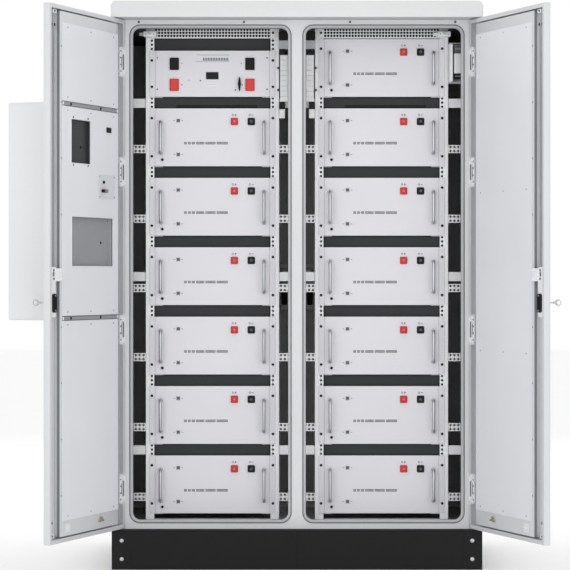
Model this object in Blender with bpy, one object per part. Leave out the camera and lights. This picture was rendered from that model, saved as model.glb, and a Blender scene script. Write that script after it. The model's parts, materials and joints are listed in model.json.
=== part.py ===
"""Two-bay outdoor battery cabinet: rack batteries, control box, doors, locks and door cooler.

The frame stands on the floor at z = 0, +X to the right and +Y from the front doors to the rear
doors. All lengths are in metres. Each front door is drawn closed around its hinge pin, hangs on
an empty at that pin, and stands open by FRONT_DOOR_OPEN.
"""
import math

import bmesh
import bpy
import numpy as np

# Whole cabinet
WIDTH = 1.400
DEPTH = 1.000
PLINTH_H = 0.150
BODY_TOP = 2.083
ROOF_TOP = 2.146
ROOF_OVERHANG = 0.055
ROOF_FALL = 0.020
FRAME_FACE = 0.460          # front and rear frame faces, from the middle of the depth
SHEET = 0.003
GAP = 0.0003                # clearance between pieces that touch

# Plinth channel
PLINTH_WEB = 0.004
PLINTH_FLANGE = 0.060
CROSS_BEAM_HALF = 0.060

# Openings in the front and rear frames
BAY_X = 0.328
WINDOW_W = 0.589
WINDOW_Z = (0.185, 2.050)
WINDOW_R = 0.028
LIP_W = 0.013
LIP_OUT = 0.008
LIP_IN = 0.020
ARC_STEPS = 4

# 19-inch racks
RACK_X = 0.325
RACK_FRONT = -0.326
RACK_REAR = 0.390
RACK_HALF = 0.2555
POST_FLANGE = 0.032
POST_T = 0.002
RACK_BASE = 0.176
RACK_TOP = 2.066
UNIT = 0.04445
SLOT_PITCH = 6 * UNIT
SLOT_Z0 = 0.198
SLOTS = 7
RAIL_W = 0.034
RAIL_UP = 0.030
RAIL_X = 0.2235

# Rack-mounted boxes
PANEL_W = 0.4826
CASE_W = 0.442
CASE_H = 0.222
CASE_DEPTH = 0.700
CASE_T = 0.002
PANEL_T = 0.003
CELL_COLUMNS = 8
CELL_LENGTH = 0.072
CELL_HEIGHT = 0.204
CELL_BANK_W = 0.352
CELL_START = 0.090
CELL_GAP = 0.002
CELL_TRAY_T = 0.006
CONTROL_H = 0.177
CONTROL_DEPTH = 0.480
CONTROL_TRAY = ((-0.190, 0.190), (-0.260, 0.060), 0.004)      # x, y, height
CONTACTOR_Y = (-0.240, -0.160)
CONTACTOR_W = 0.060
CONTACTOR_H = 0.090
CONTACTOR_PITCH = 0.095
CONTACTORS = 4
CONTACTOR_MARGIN = 0.020
BUS_BLOCK = ((-0.150, 0.150), (-0.100, 0.030), 0.110)         # x, y, height
ISOLATOR_X = 0.104
ISOLATOR_Z = 0.049
ISOLATOR_HUB = ((0.006, 0.010), (0.0, 0.012))                 # height off the panel, radius
ISOLATOR_BLADE = (0.0045, (0.003, 0.018), 0.027)              # half width, reach, half length
VENT_FOOT = 0.0035
VENT_GAP = 0.002
VENT_LIP = 0.015

# Doors, in door coordinates: x from the pin to the free edge, y towards the inside
PIN_X = 0.672
PIN_Y = 0.487
DOOR_X = (-0.018, 0.668)
DOOR_Y = (-0.010, 0.015)
DOOR_Z = (0.154, 2.079)
DOOR_SKIN = 0.002
DOOR_RETURN = 0.016
FRONT_DOOR_OPEN = math.radians(109.0)
HINGE_Z = (0.304, 0.907, 1.503, 1.920)
HINGE_HALF = 0.055
KNUCKLE_HALF = 0.0195
BARREL_HALF = 0.005
HINGE_ARM = 0.010
HINGE_CUT_GAP = 0.004
LINER_X = (0.048, 0.575)
LINER_Z = (0.175, 2.058)
LINER_T = 0.0015

# Door cooler and its two air windows
COOLER_X = (0.0665, 0.5125)
COOLER_Z = (0.949, 1.738)
COOLER_DEPTH = 0.210
COOLER_T = 0.002
COOLER_DUCT = 0.060
AIR_WINDOWS = (((0.312, 0.480), (1.517, 1.681)), ((0.099, 0.480), (1.146, 1.324)))
FAN_Z = 1.520
FAN_R = 0.130
FAN_SLOTS = 6
FAN_SLOT_PITCH = 0.044
FAN_INSET = 0.020
FAN_LENGTH = 0.060
FAN_HUB_R = 0.036
FAN_BLADE_HALF = 0.030
FAN_BLADE_T = 0.004
DIVIDER_Y = 0.110           # from the cooler's outer face to the wall between its two air paths
COLLAR_END = 0.014          # how far the air collars reach into the door's depth
COLLAR_GAP = 0.0005

# Door lock
LOCK_X = 0.619
SPINDLE_Z = 1.1155
LOCK_PLATE_Z = (0.963, 1.141)
LOCK_PLATE_W = 0.036
LOCK_PLATE_T = 0.003
SPINDLE_HOLE = 0.0085
SPINDLE_R = 0.0078
SPINDLE_COLLAR_R = 0.012
SPINDLE_END_R = 0.006
SPINDLE_END = 0.0045
CAM_R = 0.022
CAM_Y = (-0.0060, -0.0020)
HANDLE_COLLAR_R = 0.011
HANDLE_BITE = 0.002         # how far the collar runs into the rear handle's lever
LEVER_TOP = 0.016
LEVER_LENGTH = 0.160
LEVER_W = 0.026
LEVER_Y = (-0.0275, -0.0145)
KEY_Z = 1.014
KEY_R = 0.0125
KEY_T = 0.0022
KEY_HOLE_R = 0.0046
KEY_NECK = 0.022
KEY_STOP = 0.002            # gap from the key's tip to the lever's inner face
KEY_BLADE_HALF = 0.003
KEY_EYE_HALF = 0.005
ROD_W = 0.012
ROD_T = 0.003
ROD_OFFSET = 0.0125
ROD_Y = -0.0017
ROD_START = 0.010           # gap from the spindle's axis to each rod's inner end
ROD_REACH = (0.168, 2.066)


def clear_scene():
    """Remove every object that is in the scene."""
    for old in list(bpy.data.objects):
        bpy.data.objects.remove(old, do_unlink=True)


def finish(name, colour, roughness, metallic):
    """Return a Principled material."""
    material = bpy.data.materials.new(name)
    material.use_nodes = True
    shader = material.node_tree.nodes["Principled BSDF"]
    shader.inputs["Base Color"].default_value = (*colour, 1.0)
    shader.inputs["Roughness"].default_value = roughness
    shader.inputs["Metallic"].default_value = metallic
    return material


def add_object(name, mesh_data, material, parent=None):
    """Turn a bmesh into a named object and hang it on its parent."""
    bmesh.ops.recalc_face_normals(mesh_data, faces=mesh_data.faces)
    mesh = bpy.data.meshes.new(name)
    mesh_data.to_mesh(mesh)
    mesh_data.free()
    mesh.materials.append(material)
    piece = bpy.data.objects.new(name, mesh)
    bpy.context.scene.collection.objects.link(piece)
    piece.parent = parent
    return piece


def pivot(name, location, turn=0.0, parent=None):
    """Return an empty on a joint's axis, turned about Z."""
    empty = bpy.data.objects.new(name, None)
    empty.location = location
    empty.rotation_euler = (0.0, 0.0, turn)
    empty.parent = parent
    bpy.context.scene.collection.objects.link(empty)
    return empty


def box(x, y, z):
    """Return a box from three (low, high) pairs, each sorted."""
    return tuple(tuple(sorted(pair)) for pair in (x, y, z))


def handed(hand, pairs):
    """Mirror boxes in X for a right-hand door, where hand is -1."""
    return [box((hand * x[0], hand * x[1]), y, z) for x, y, z in pairs]


def block_mesh(add, cut=()):
    """Return the union of the add boxes less the cut boxes, as one welded mesh."""
    steps = [(b, True) for b in add] + [(b, False) for b in cut]
    grid = [sorted({round(v, 6) for b, _ in steps for v in b[axis]}) for axis in range(3)]
    filled = np.zeros([len(lines) + 1 for lines in grid], dtype=bool)
    centres = [np.array([(a + b) / 2 for a, b in zip(lines, lines[1:])]) for lines in grid]
    for limits, state in steps:
        inside = [(centres[i] > limits[i][0]) & (centres[i] < limits[i][1]) for i in range(3)]
        region = np.ix_(*[np.flatnonzero(mask) + 1 for mask in inside])
        filled[region] = state
    mesh_data = bmesh.new()
    corners = {}

    def corner(index):
        if index not in corners:
            corners[index] = mesh_data.verts.new([grid[i][index[i]] for i in range(3)])
        return corners[index]

    for cell in map(tuple, np.argwhere(filled)):
        for axis in range(3):
            for side in (0, 1):
                near = list(cell)
                near[axis] += 2 * side - 1
                if filled[tuple(near)]:
                    continue
                low = [c - 1 for c in cell]
                low[axis] += side
                one, two = [a for a in range(3) if a != axis]
                ring = []
                for step_one, step_two in ((0, 0), (1, 0), (1, 1), (0, 1)):
                    place = list(low)
                    place[one] += step_one
                    place[two] += step_two
                    ring.append(corner(tuple(place)))
                mesh_data.faces.new(ring)
    bmesh.ops.recalc_face_normals(mesh_data, faces=mesh_data.faces)
    bmesh.ops.dissolve_limit(
        mesh_data,
        angle_limit=math.radians(1.0),
        verts=mesh_data.verts,
        edges=mesh_data.edges,
    )
    return mesh_data


def arc_rectangle(centre_x, z_low, z_high, width, radius):
    """Return the (x, z) points of a rectangle with round corners."""
    half = width / 2
    middles = (
        (centre_x + half - radius, z_high - radius, 0.0),
        (centre_x - half + radius, z_high - radius, 90.0),
        (centre_x - half + radius, z_low + radius, 180.0),
        (centre_x + half - radius, z_low + radius, 270.0),
    )
    points = []
    for x, z, start in middles:
        for step in range(ARC_STEPS + 1):
            angle = math.radians(start + 90.0 * step / ARC_STEPS)
            points.append((x + radius * math.cos(angle), z + radius * math.sin(angle)))
    return points


def circle(centre_x, centre_z, radius, steps=12):
    """Return the (x, z) points of a circle."""
    turns = [2 * math.pi * step / steps for step in range(steps)]
    return [(centre_x + radius * math.cos(t), centre_z + radius * math.sin(t)) for t in turns]


def loop_edges(mesh_data, points, y):
    """Add a closed loop of (x, z) points at y, and return its vertices and edges."""
    verts = [mesh_data.verts.new((x, y, z)) for x, z in points]
    edges = [mesh_data.edges.new((a, b)) for a, b in zip(verts, verts[1:] + verts[:1])]
    return verts, edges


def join_loops(mesh_data, first, second):
    """Bridge two loops that have the same number of points."""
    count = len(first)
    for i in range(count):
        k = (i + 1) % count
        mesh_data.faces.new((first[i], first[k], second[k], second[i]))


def plate_mesh(outline, holes, y_low, y_high):
    """Return a flat plate in the XZ plane with holes through it."""
    mesh_data = bmesh.new()
    sides = []
    for y in (y_low, y_high):
        loops = [loop_edges(mesh_data, points, y) for points in [outline, *holes]]
        edges = [edge for _, ring in loops for edge in ring]
        bmesh.ops.triangle_fill(mesh_data, use_beauty=True, edges=edges, normal=(0, -1, 0))
        sides.append([verts for verts, _ in loops])
    for first, second in zip(*sides):
        join_loops(mesh_data, first, second)
    return mesh_data


def turned_mesh(profile, centre, steps=14):
    """Return a solid turned about an axis along Y, from (y, radius) pairs."""
    mesh_data = bmesh.new()
    rings = []
    for y, radius in profile:
        points = circle(centre[0], centre[1], radius, steps)
        rings.append([mesh_data.verts.new((x, y, z)) for x, z in points])
    for first, second in zip(rings, rings[1:]):
        join_loops(mesh_data, first, second)
    mesh_data.faces.new(rings[0])
    mesh_data.faces.new(list(reversed(rings[-1])))
    return mesh_data


def fuse(base, others):
    """Weld other objects into the base object with exact unions, and remove them."""
    for other in others:
        joint = base.modifiers.new("weld", "BOOLEAN")
        joint.operation = "UNION"
        joint.solver = "EXACT"
        joint.object = other
    bpy.context.view_layer.update()
    depsgraph = bpy.context.evaluated_depsgraph_get()
    welded = bpy.data.meshes.new_from_object(base.evaluated_get(depsgraph))
    base.modifiers.clear()
    base.data = welded
    for other in others:
        bpy.data.objects.remove(other, do_unlink=True)


def build_plinth(material):
    """Channel ring with a cross beam through the middle of the base."""
    half_x = WIDTH / 2
    half_y = DEPTH / 2
    inner_x = half_x - PLINTH_WEB
    inner_y = half_y - PLINTH_WEB
    flange_x = half_x - PLINTH_FLANGE
    flange_y = half_y - PLINTH_FLANGE
    low, high = (0.0, PLINTH_WEB), (PLINTH_H - PLINTH_WEB, PLINTH_H)
    whole = box((-half_x, half_x), (-half_y, half_y), (0.0, PLINTH_H))
    middle = box((-inner_x, inner_x), (-inner_y, inner_y), (0.0, PLINTH_H))
    back = []
    for level in (low, high):
        back.append(box((-inner_x, inner_x), (-inner_y, -flange_y), level))
        back.append(box((-inner_x, inner_x), (flange_y, inner_y), level))
        back.append(box((-inner_x, -flange_x), (-flange_y, flange_y), level))
        back.append(box((flange_x, inner_x), (-flange_y, flange_y), level))
        back.append(box((-flange_x, flange_x), (-CROSS_BEAM_HALF, CROSS_BEAM_HALF), level))
    web = (-PLINTH_WEB / 2, PLINTH_WEB / 2)
    back.append(box((-inner_x, inner_x), web, (0.0, PLINTH_H)))
    add_object("plinth", block_mesh(hollow(whole, [middle]) + back), material)


def hollow(solid, cuts):
    """Split a box into the boxes left around one straight-through or blind cut."""
    left = [solid]
    for cut in cuts:
        remaining = []
        for piece in left:
            remaining.extend(subtract(piece, cut))
        left = remaining
    return left


def subtract(piece, cut):
    """Return up to six boxes that cover piece less cut."""
    shared = [(max(p[0], c[0]), min(p[1], c[1])) for p, c in zip(piece, cut)]
    if any(low >= high for low, high in shared):
        return [piece]
    parts = []
    limits = list(piece)
    for axis in range(3):
        low, high = shared[axis]
        if limits[axis][0] < low:
            side = list(limits)
            side[axis] = (limits[axis][0], low)
            parts.append(tuple(side))
        if high < limits[axis][1]:
            side = list(limits)
            side[axis] = (high, limits[axis][1])
            parts.append(tuple(side))
        limits[axis] = (low, high)
    return parts


def build_body(material):
    """Welded side walls, floor and ceiling."""
    half = WIDTH / 2
    y = (-FRAME_FACE + SHEET + GAP, FRAME_FACE - SHEET - GAP)
    z = (PLINTH_H + GAP, BODY_TOP - GAP)
    inner = box((-half + SHEET, half - SHEET), y, (z[0] + SHEET, z[1] - SHEET))
    add_object("cabinet_body", block_mesh([box((-half, half), y, z)], [inner]), material)


def build_bay_frame(name, material, direction):
    """Face frame with two round-cornered windows, drip lips and hinge brackets.

    direction is -1 for the front frame and +1 for the rear frame.
    """
    face = direction * FRAME_FACE
    back = face - direction * SHEET
    lip = face + direction * LIP_OUT
    inside = back - direction * LIP_IN
    half = WIDTH / 2
    low, high = PLINTH_H + GAP, BODY_TOP - GAP
    outline = [(half, high), (-half, high), (-half, low), (half, low)]
    mesh_data = bmesh.new()

    def window(centre, grow):
        return arc_rectangle(
            centre, WINDOW_Z[0] - grow, WINDOW_Z[1] + grow, WINDOW_W + 2 * grow, WINDOW_R + grow
        )

    centres = (-BAY_X, BAY_X)
    layers = {}
    for key, y, grow in (("back", back, SHEET), ("face", face, LIP_W)):
        loops = [loop_edges(mesh_data, outline, y)]
        loops += [loop_edges(mesh_data, window(centre, grow), y) for centre in centres]
        edges = [edge for _, ring in loops for edge in ring]
        bmesh.ops.triangle_fill(
            mesh_data, use_beauty=True, edges=edges, normal=(0, direction, 0)
        )
        layers[key] = [verts for verts, _ in loops]
    join_loops(mesh_data, layers["back"][0], layers["face"][0])
    for index, centre in enumerate(centres, start=1):
        lip_outer, _ = loop_edges(mesh_data, window(centre, LIP_W), lip)
        lip_inner, _ = loop_edges(mesh_data, window(centre, 0.0), lip)
        tube_inner, _ = loop_edges(mesh_data, window(centre, 0.0), inside)
        tube_outer, _ = loop_edges(mesh_data, window(centre, SHEET), inside)
        join_loops(mesh_data, layers["face"][index], lip_outer)
        join_loops(mesh_data, lip_outer, lip_inner)
        join_loops(mesh_data, lip_inner, tube_inner)
        join_loops(mesh_data, tube_inner, tube_outer)
        join_loops(mesh_data, tube_outer, layers["back"][index])
    frame = add_object(name, mesh_data, material)
    brackets = []
    for side in (-1, 1):
        for z in HINGE_Z:
            for low_z, high_z in ((-HINGE_HALF, -KNUCKLE_HALF), (KNUCKLE_HALF, HINGE_HALF)):
                level = (z + low_z - math.copysign(GAP, -low_z), z + high_z)
                level = tuple(sorted(level))
                brackets.append(hinge_bracket(side, direction, level, material))
    fuse(frame, brackets)


def hinge_bracket(side, direction, level, material):
    """One fixed knuckle with its arm, rooted in the frame's face sheet."""
    pin_x = side * PIN_X
    pin_y = direction * PIN_Y
    root_y = direction * (FRAME_FACE - SHEET / 2)
    inward = -side
    barrel_x = (pin_x - BARREL_HALF, pin_x + BARREL_HALF)
    barrel_y = (pin_y - BARREL_HALF, pin_y + BARREL_HALF)
    arm_x = (pin_x, pin_x + inward * HINGE_ARM)
    barrel = box(barrel_x, barrel_y, level)
    arm = box(arm_x, (pin_y, root_y), level)
    return add_object("bracket", block_mesh([barrel, arm]), material)


def build_roof(material):
    """Canopy with a front fascia and a top that falls towards the rear."""
    half = WIDTH / 2
    out = DEPTH / 2 + ROOF_OVERHANG
    outer = box((-half, half), (-out, out), (BODY_TOP, ROOF_TOP))
    wall = (half - SHEET, out - SHEET)
    inner = box((-wall[0], wall[0]), (-wall[1], wall[1]), (BODY_TOP, ROOF_TOP - SHEET))
    mesh_data = block_mesh([outer], [inner])
    for vert in mesh_data.verts:
        if vert.co.z > ROOF_TOP - 2 * SHEET and vert.co.y > 0:
            vert.co.z -= ROOF_FALL
    add_object("roof_canopy", mesh_data, material)


def build_rack_side(name, centre, side, material):
    """One side of a rack: front and rear mounting flanges on a side sheet with seven shelves."""
    outer = RACK_HALF
    web = outer - POST_T
    flange = outer - POST_FLANGE
    height = (RACK_BASE, RACK_TOP)
    front = (RACK_FRONT + GAP, RACK_FRONT + GAP + POST_T)
    rear = (RACK_REAR - POST_T, RACK_REAR)
    solids = [
        box((flange, outer), front, height),
        box((web, outer), (front[0], rear[1]), height),
        box((flange, outer), rear, height),
    ]
    for slot in range(SLOTS):
        top = SLOT_Z0 + slot * SLOT_PITCH - GAP
        shelf = (top - POST_T, top)
        solids.append(box((RAIL_X - RAIL_W, web), (front[1], rear[0]), shelf))
        rise = (top - POST_T, top + RAIL_UP)
        solids.append(box((RAIL_X, RAIL_X + POST_T), (front[1], rear[0]), rise))
    placed = [box((centre + side * x[0], centre + side * x[1]), y, z) for x, y, z in solids]
    add_object(name, block_mesh(placed), material)


def build_rack_box(name, centre, z_low, height, depth, material, holes=()):
    """Rack-mounted case: front panel with ears and a sleeve that is open at the rear."""
    face = (RACK_FRONT - PANEL_T, RACK_FRONT)
    half_panel = PANEL_W / 2
    half = CASE_W / 2
    z = (z_low, z_low + height)
    y = (RACK_FRONT, RACK_FRONT + depth)
    panel = box((centre - half_panel, centre + half_panel), face, z)
    sleeve = box((centre - half, centre + half), y, z)
    inside = box(
        (centre - half + CASE_T, centre + half - CASE_T),
        (y[0], y[1]),
        (z[0] + CASE_T, z[1] - CASE_T),
    )
    cuts = [inside]
    cuts += [box(x, face, hole_z) for x, hole_z in holes]
    add_object(name, block_mesh([panel, sleeve], cuts), material)


def build_cells(name, centre, z_low, material):
    """Bank of prismatic cells on a common tray, inside one battery case."""
    half = CELL_BANK_W / 2
    base = z_low + CASE_T + GAP
    start = RACK_FRONT + CELL_START
    pitch = CELL_LENGTH + CELL_GAP
    end = start + CELL_COLUMNS * pitch
    solids = [box((centre - half, centre + half), (start, end), (base, base + CELL_TRAY_T))]
    for column in range(CELL_COLUMNS):
        y = start + column * pitch
        solids.append(
            box(
                (centre - half + CELL_GAP, centre + half - CELL_GAP),
                (y, y + CELL_LENGTH),
                (base, base + CELL_HEIGHT),
            )
        )
    add_object(name, block_mesh(solids), material)


def build_control_box(centre, materials):
    """Four-unit control box with its contactors and its isolator lever."""
    z_low = SLOT_Z0 + (SLOTS - 1) * SLOT_PITCH
    build_rack_box(
        "control_case", centre, z_low, CONTROL_H, CONTROL_DEPTH, materials["light_paint"]
    )
    base = z_low + CASE_T + GAP
    solids = []
    for x, y, height in (CONTROL_TRAY, BUS_BLOCK):
        solids.append(box((centre + x[0], centre + x[1]), y, (base, base + height)))
    for column in range(CONTACTORS):
        x = centre + CONTROL_TRAY[0][0] + CONTACTOR_MARGIN + column * CONTACTOR_PITCH
        solids.append(box((x, x + CONTACTOR_W), CONTACTOR_Y, (base, base + CONTACTOR_H)))
    add_object("control_contactors", block_mesh(solids), materials["black_plastic"])
    front = RACK_FRONT - PANEL_T - GAP
    profile = [(front - height, radius) for height, radius in ISOLATOR_HUB]
    hub = turned_mesh(profile, (0.0, 0.0), 12)
    lever = add_object("isolator_lever", hub, materials["black_plastic"])
    half, (near, far), reach = ISOLATOR_BLADE
    blade = block_mesh([box((-half, half), (front - far, front - near), (-reach, reach))])
    fuse(lever, [add_object("blade", blade, materials["black_plastic"])])
    lever.location = (centre + ISOLATOR_X, 0.0, z_low + ISOLATOR_Z)


def build_vent(name, centre, material):
    """Perforated strip that closes the top of a rack."""
    z = (SLOT_Z0 + SLOTS * SLOT_PITCH - UNIT + VENT_FOOT, RACK_TOP - VENT_GAP)
    face = (RACK_FRONT - POST_T, RACK_FRONT)
    half = PANEL_W / 2
    lip = CASE_W / 2
    panel = box((centre - half, centre + half), face, z)
    top = box((centre - lip, centre + lip), (face[1], face[1] + VENT_LIP), (z[1] - POST_T, z[1]))
    add_object(name, block_mesh([panel, top]), material)


def window_boxes(y, trim=0.0):
    """Return the two air windows as boxes over a y range, less a trim all round."""
    boxes = []
    for x, z in AIR_WINDOWS:
        boxes.append(box((x[0] + trim, x[1] - trim), y, (z[0] + trim, z[1] - trim)))
    return boxes


def build_door_shell(name, hand, parent, material, cooler):
    """Folded door tray with hinge cut-outs, knuckles and the lock's base plate."""
    outer = box(DOOR_X, DOOR_Y, DOOR_Z)
    skin = DOOR_SKIN
    cavity = box(
        (DOOR_X[0] + skin, DOOR_X[1] - skin),
        (DOOR_Y[0] + skin, DOOR_Y[1] - skin),
        (DOOR_Z[0] + skin, DOOR_Z[1] - skin),
    )
    mouth = box(
        (DOOR_X[0] + DOOR_RETURN, DOOR_X[1] - DOOR_RETURN),
        (DOOR_Y[1] - skin, DOOR_Y[1]),
        (DOOR_Z[0] + DOOR_RETURN, DOOR_Z[1] - DOOR_RETURN),
    )
    plate = box(
        (LOCK_X - LOCK_PLATE_W / 2, LOCK_X + LOCK_PLATE_W / 2),
        (DOOR_Y[0] - LOCK_PLATE_T, DOOR_Y[0]),
        LOCK_PLATE_Z,
    )
    spindle_hole = box(
        (LOCK_X - SPINDLE_HOLE, LOCK_X + SPINDLE_HOLE),
        (DOOR_Y[0] - 2 * LOCK_PLATE_T, DOOR_Y[0] + 2 * skin),
        (SPINDLE_Z - SPINDLE_HOLE, SPINDLE_Z + SPINDLE_HOLE),
    )
    solids = [outer, plate]
    cuts = [cavity, mouth, spindle_hole]
    for z in HINGE_Z:
        reach = HINGE_HALF + HINGE_CUT_GAP
        cuts.append(
            box((DOOR_X[0], 0.0), (DOOR_Y[0] + skin, DOOR_Y[1]), (z - reach, z + reach))
        )
    if cooler:
        cuts += window_boxes((DOOR_Y[0], DOOR_Y[0] + skin))
    kept = []
    for solid in solids:
        kept.extend(hollow(solid, cuts))
    for z in HINGE_Z:
        level = (z - KNUCKLE_HALF + GAP, z + KNUCKLE_HALF - GAP)
        kept.append(box((-BARREL_HALF, BARREL_HALF), (DOOR_Y[0] + skin, BARREL_HALF), level))
    add_object(name, block_mesh(handed(hand, kept)), material, parent)


def build_door_liner(name, hand, parent, material, cooler):
    """Pan that closes the inside of a door and holds its insulation."""
    base = DOOR_Y[0] + DOOR_SKIN + GAP
    outer = box(LINER_X, (base, DOOR_Y[1] - GAP), LINER_Z)
    inner = box(
        (LINER_X[0] + LINER_T, LINER_X[1] - LINER_T),
        (base, DOOR_Y[1] - GAP - LINER_T),
        (LINER_Z[0] + LINER_T, LINER_Z[1] - LINER_T),
    )
    cuts = [inner]
    if cooler:
        cuts += window_boxes((base, DOOR_Y[1]))
    add_object(name, block_mesh(handed(hand, [outer]), handed(hand, cuts)), material, parent)


def build_cooler(hand, parent, materials):
    """Cooling unit on the outside of the left door, with its outer fan."""
    back = DOOR_Y[0] - GAP
    y = (back - COOLER_DEPTH, back)
    outer = box(COOLER_X, y, COOLER_Z)
    inner = box(
        (COOLER_X[0] + COOLER_T, COOLER_X[1] - COOLER_T),
        (y[0] + COOLER_T, y[1] - COOLER_T),
        (COOLER_Z[0] + COOLER_T, COOLER_Z[1] - COOLER_T),
    )
    middle = (COOLER_X[0] + COOLER_X[1]) / 2
    slots = []
    for step in range(FAN_SLOTS):
        z = FAN_Z + (step - (FAN_SLOTS - 1) / 2) * FAN_SLOT_PITCH
        level = (z - FAN_SLOT_PITCH / 4, z + FAN_SLOT_PITCH / 4)
        slots.append(box((middle - FAN_R, middle + FAN_R), (y[0], y[0] + COOLER_T), level))
    kept = hollow(outer, [inner, *slots])
    kept += window_boxes((y[1] - COOLER_T, DOOR_Y[0] + COLLAR_END), COLLAR_GAP)
    divider = (COOLER_Z[0], COOLER_Z[1] - COOLER_DUCT)
    wall = y[0] + DIVIDER_Y
    kept.append(box(COOLER_X, (wall, wall + COOLER_T), divider))
    add_object("cooler_case", block_mesh(handed(hand, kept)), materials["light_paint"], parent)
    axle = pivot("cooler_fan_axis", (hand * middle, 0.0, FAN_Z), parent=parent)
    front = y[0] + FAN_INSET
    hub = turned_mesh([(front, FAN_HUB_R), (front + FAN_LENGTH, FAN_HUB_R)], (0.0, 0.0), 12)
    fan = add_object("cooler_fan", hub, materials["black_plastic"], axle)
    blade = (front + FAN_INSET, front + FAN_INSET + FAN_BLADE_T)
    reach, half = (-FAN_R, FAN_R), (-FAN_BLADE_HALF, FAN_BLADE_HALF)
    cross = block_mesh([box(reach, blade, half), box(half, blade, reach)])
    fuse(fan, [add_object("blades", cross, materials["black_plastic"], axle)])


def build_lock(label, hand, parent, materials):
    """Swing-handle lock: spindle with cam, lever, key and two rods."""
    x = hand * LOCK_X
    axis = pivot("lock_axis_" + label, (x, 0.0, SPINDLE_Z), parent=parent)
    plate = DOOR_Y[0] - LOCK_PLATE_T
    profile = [
        (LEVER_Y[1] + GAP, SPINDLE_COLLAR_R),
        (plate - GAP, SPINDLE_COLLAR_R),
        (plate - GAP, SPINDLE_R),
        (CAM_Y[0], SPINDLE_R),
        (CAM_Y[0], CAM_R),
        (CAM_Y[1], CAM_R),
        (CAM_Y[1], SPINDLE_END_R),
        (SPINDLE_END, SPINDLE_END_R),
    ]
    spindle = turned_mesh(profile, (0.0, 0.0))
    add_object("lock_spindle_" + label, spindle, materials["zinc_steel"], axis)
    tilt = pivot("lever_axis_" + label, (0.0, sum(LEVER_Y) / 2, LEVER_TOP), parent=axis)
    outline = arc_rectangle(0.0, -LEVER_LENGTH, 0.0, LEVER_W, LEVER_W / 2 - 0.001)
    drop = SPINDLE_Z + LEVER_TOP - KEY_Z
    thickness = (LEVER_Y[1] - LEVER_Y[0]) / 2
    lever = plate_mesh(outline, [circle(0.0, -drop, KEY_HOLE_R)], -thickness, thickness)
    add_object("lock_lever_" + label, lever, materials["black_plastic"], tilt)
    key_axis = pivot("key_axis_" + label, (0.0, 0.0, -drop), parent=tilt)
    flat = (-KEY_T / 2, KEY_T / 2)
    neck = -thickness - KEY_NECK
    blade = box(flat, (neck, thickness - KEY_STOP), (-KEY_BLADE_HALF, KEY_BLADE_HALF))
    bow = box(flat, (neck - 2 * KEY_R, neck), (-KEY_R, KEY_R))
    eye = box(flat, (neck - 1.5 * KEY_R, neck - 0.7 * KEY_R), (-KEY_EYE_HALF, KEY_EYE_HALF))
    key = block_mesh([blade, bow], [eye])
    add_object("lock_key_" + label, key, materials["zinc_steel"], key_axis)
    y = (ROD_Y, ROD_Y + ROD_T)
    for name, centre, z in (
        ("rod_upper_", LOCK_X - ROD_OFFSET, (SPINDLE_Z + ROD_START, ROD_REACH[1])),
        ("rod_lower_", LOCK_X + ROD_OFFSET, (ROD_REACH[0], SPINDLE_Z - ROD_START)),
    ):
        bar = handed(hand, [box((centre - ROD_W / 2, centre + ROD_W / 2), y, z)])
        add_object(name + label, block_mesh(bar), materials["zinc_steel"], parent)


def build_front_door(label, side, materials):
    """Front door on its hinge pin, standing open."""
    hand = -side
    turn = side * FRONT_DOOR_OPEN
    parent = pivot("hinge_front_" + label, (side * PIN_X, -PIN_Y, 0.0), turn)
    cooler = side < 0
    build_door_shell("front_door_" + label, hand, parent, materials["white_paint"], cooler)
    build_door_liner("door_liner_" + label, hand, parent, materials["light_paint"], cooler)
    if cooler:
        build_cooler(hand, parent, materials)
    build_lock(label, hand, parent, materials)


def build_rear_door(label, side, materials):
    """Rear door on its hinge pin, standing closed, with its handle."""
    hand = side
    parent = pivot("hinge_rear_" + label, (side * PIN_X, PIN_Y, 0.0), math.pi)
    build_door_shell("rear_door_" + label, hand, parent, materials["white_paint"], False)
    axis = pivot("rear_lock_axis_" + label, (hand * LOCK_X, 0.0, SPINDLE_Z), parent=parent)
    plate = DOOR_Y[0] - LOCK_PLATE_T
    profile = [
        (LEVER_Y[1] - HANDLE_BITE, HANDLE_COLLAR_R),
        (plate - GAP, HANDLE_COLLAR_R),
        (plate - GAP, SPINDLE_R),
        (CAM_Y[0], SPINDLE_R),
        (CAM_Y[0], CAM_R),
        (CAM_Y[1], CAM_R),
    ]
    spindle = turned_mesh(profile, (0.0, 0.0))
    name = "rear_handle_" + label
    handle = add_object(name, spindle, materials["black_plastic"], axis)
    outline = arc_rectangle(0.0, LEVER_TOP - LEVER_LENGTH, LEVER_TOP, LEVER_W, LEVER_W / 2 - 0.001)
    lever = plate_mesh(outline, [], LEVER_Y[0], LEVER_Y[1])
    fuse(handle, [add_object("lever", lever, materials["black_plastic"], axis)])


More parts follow.
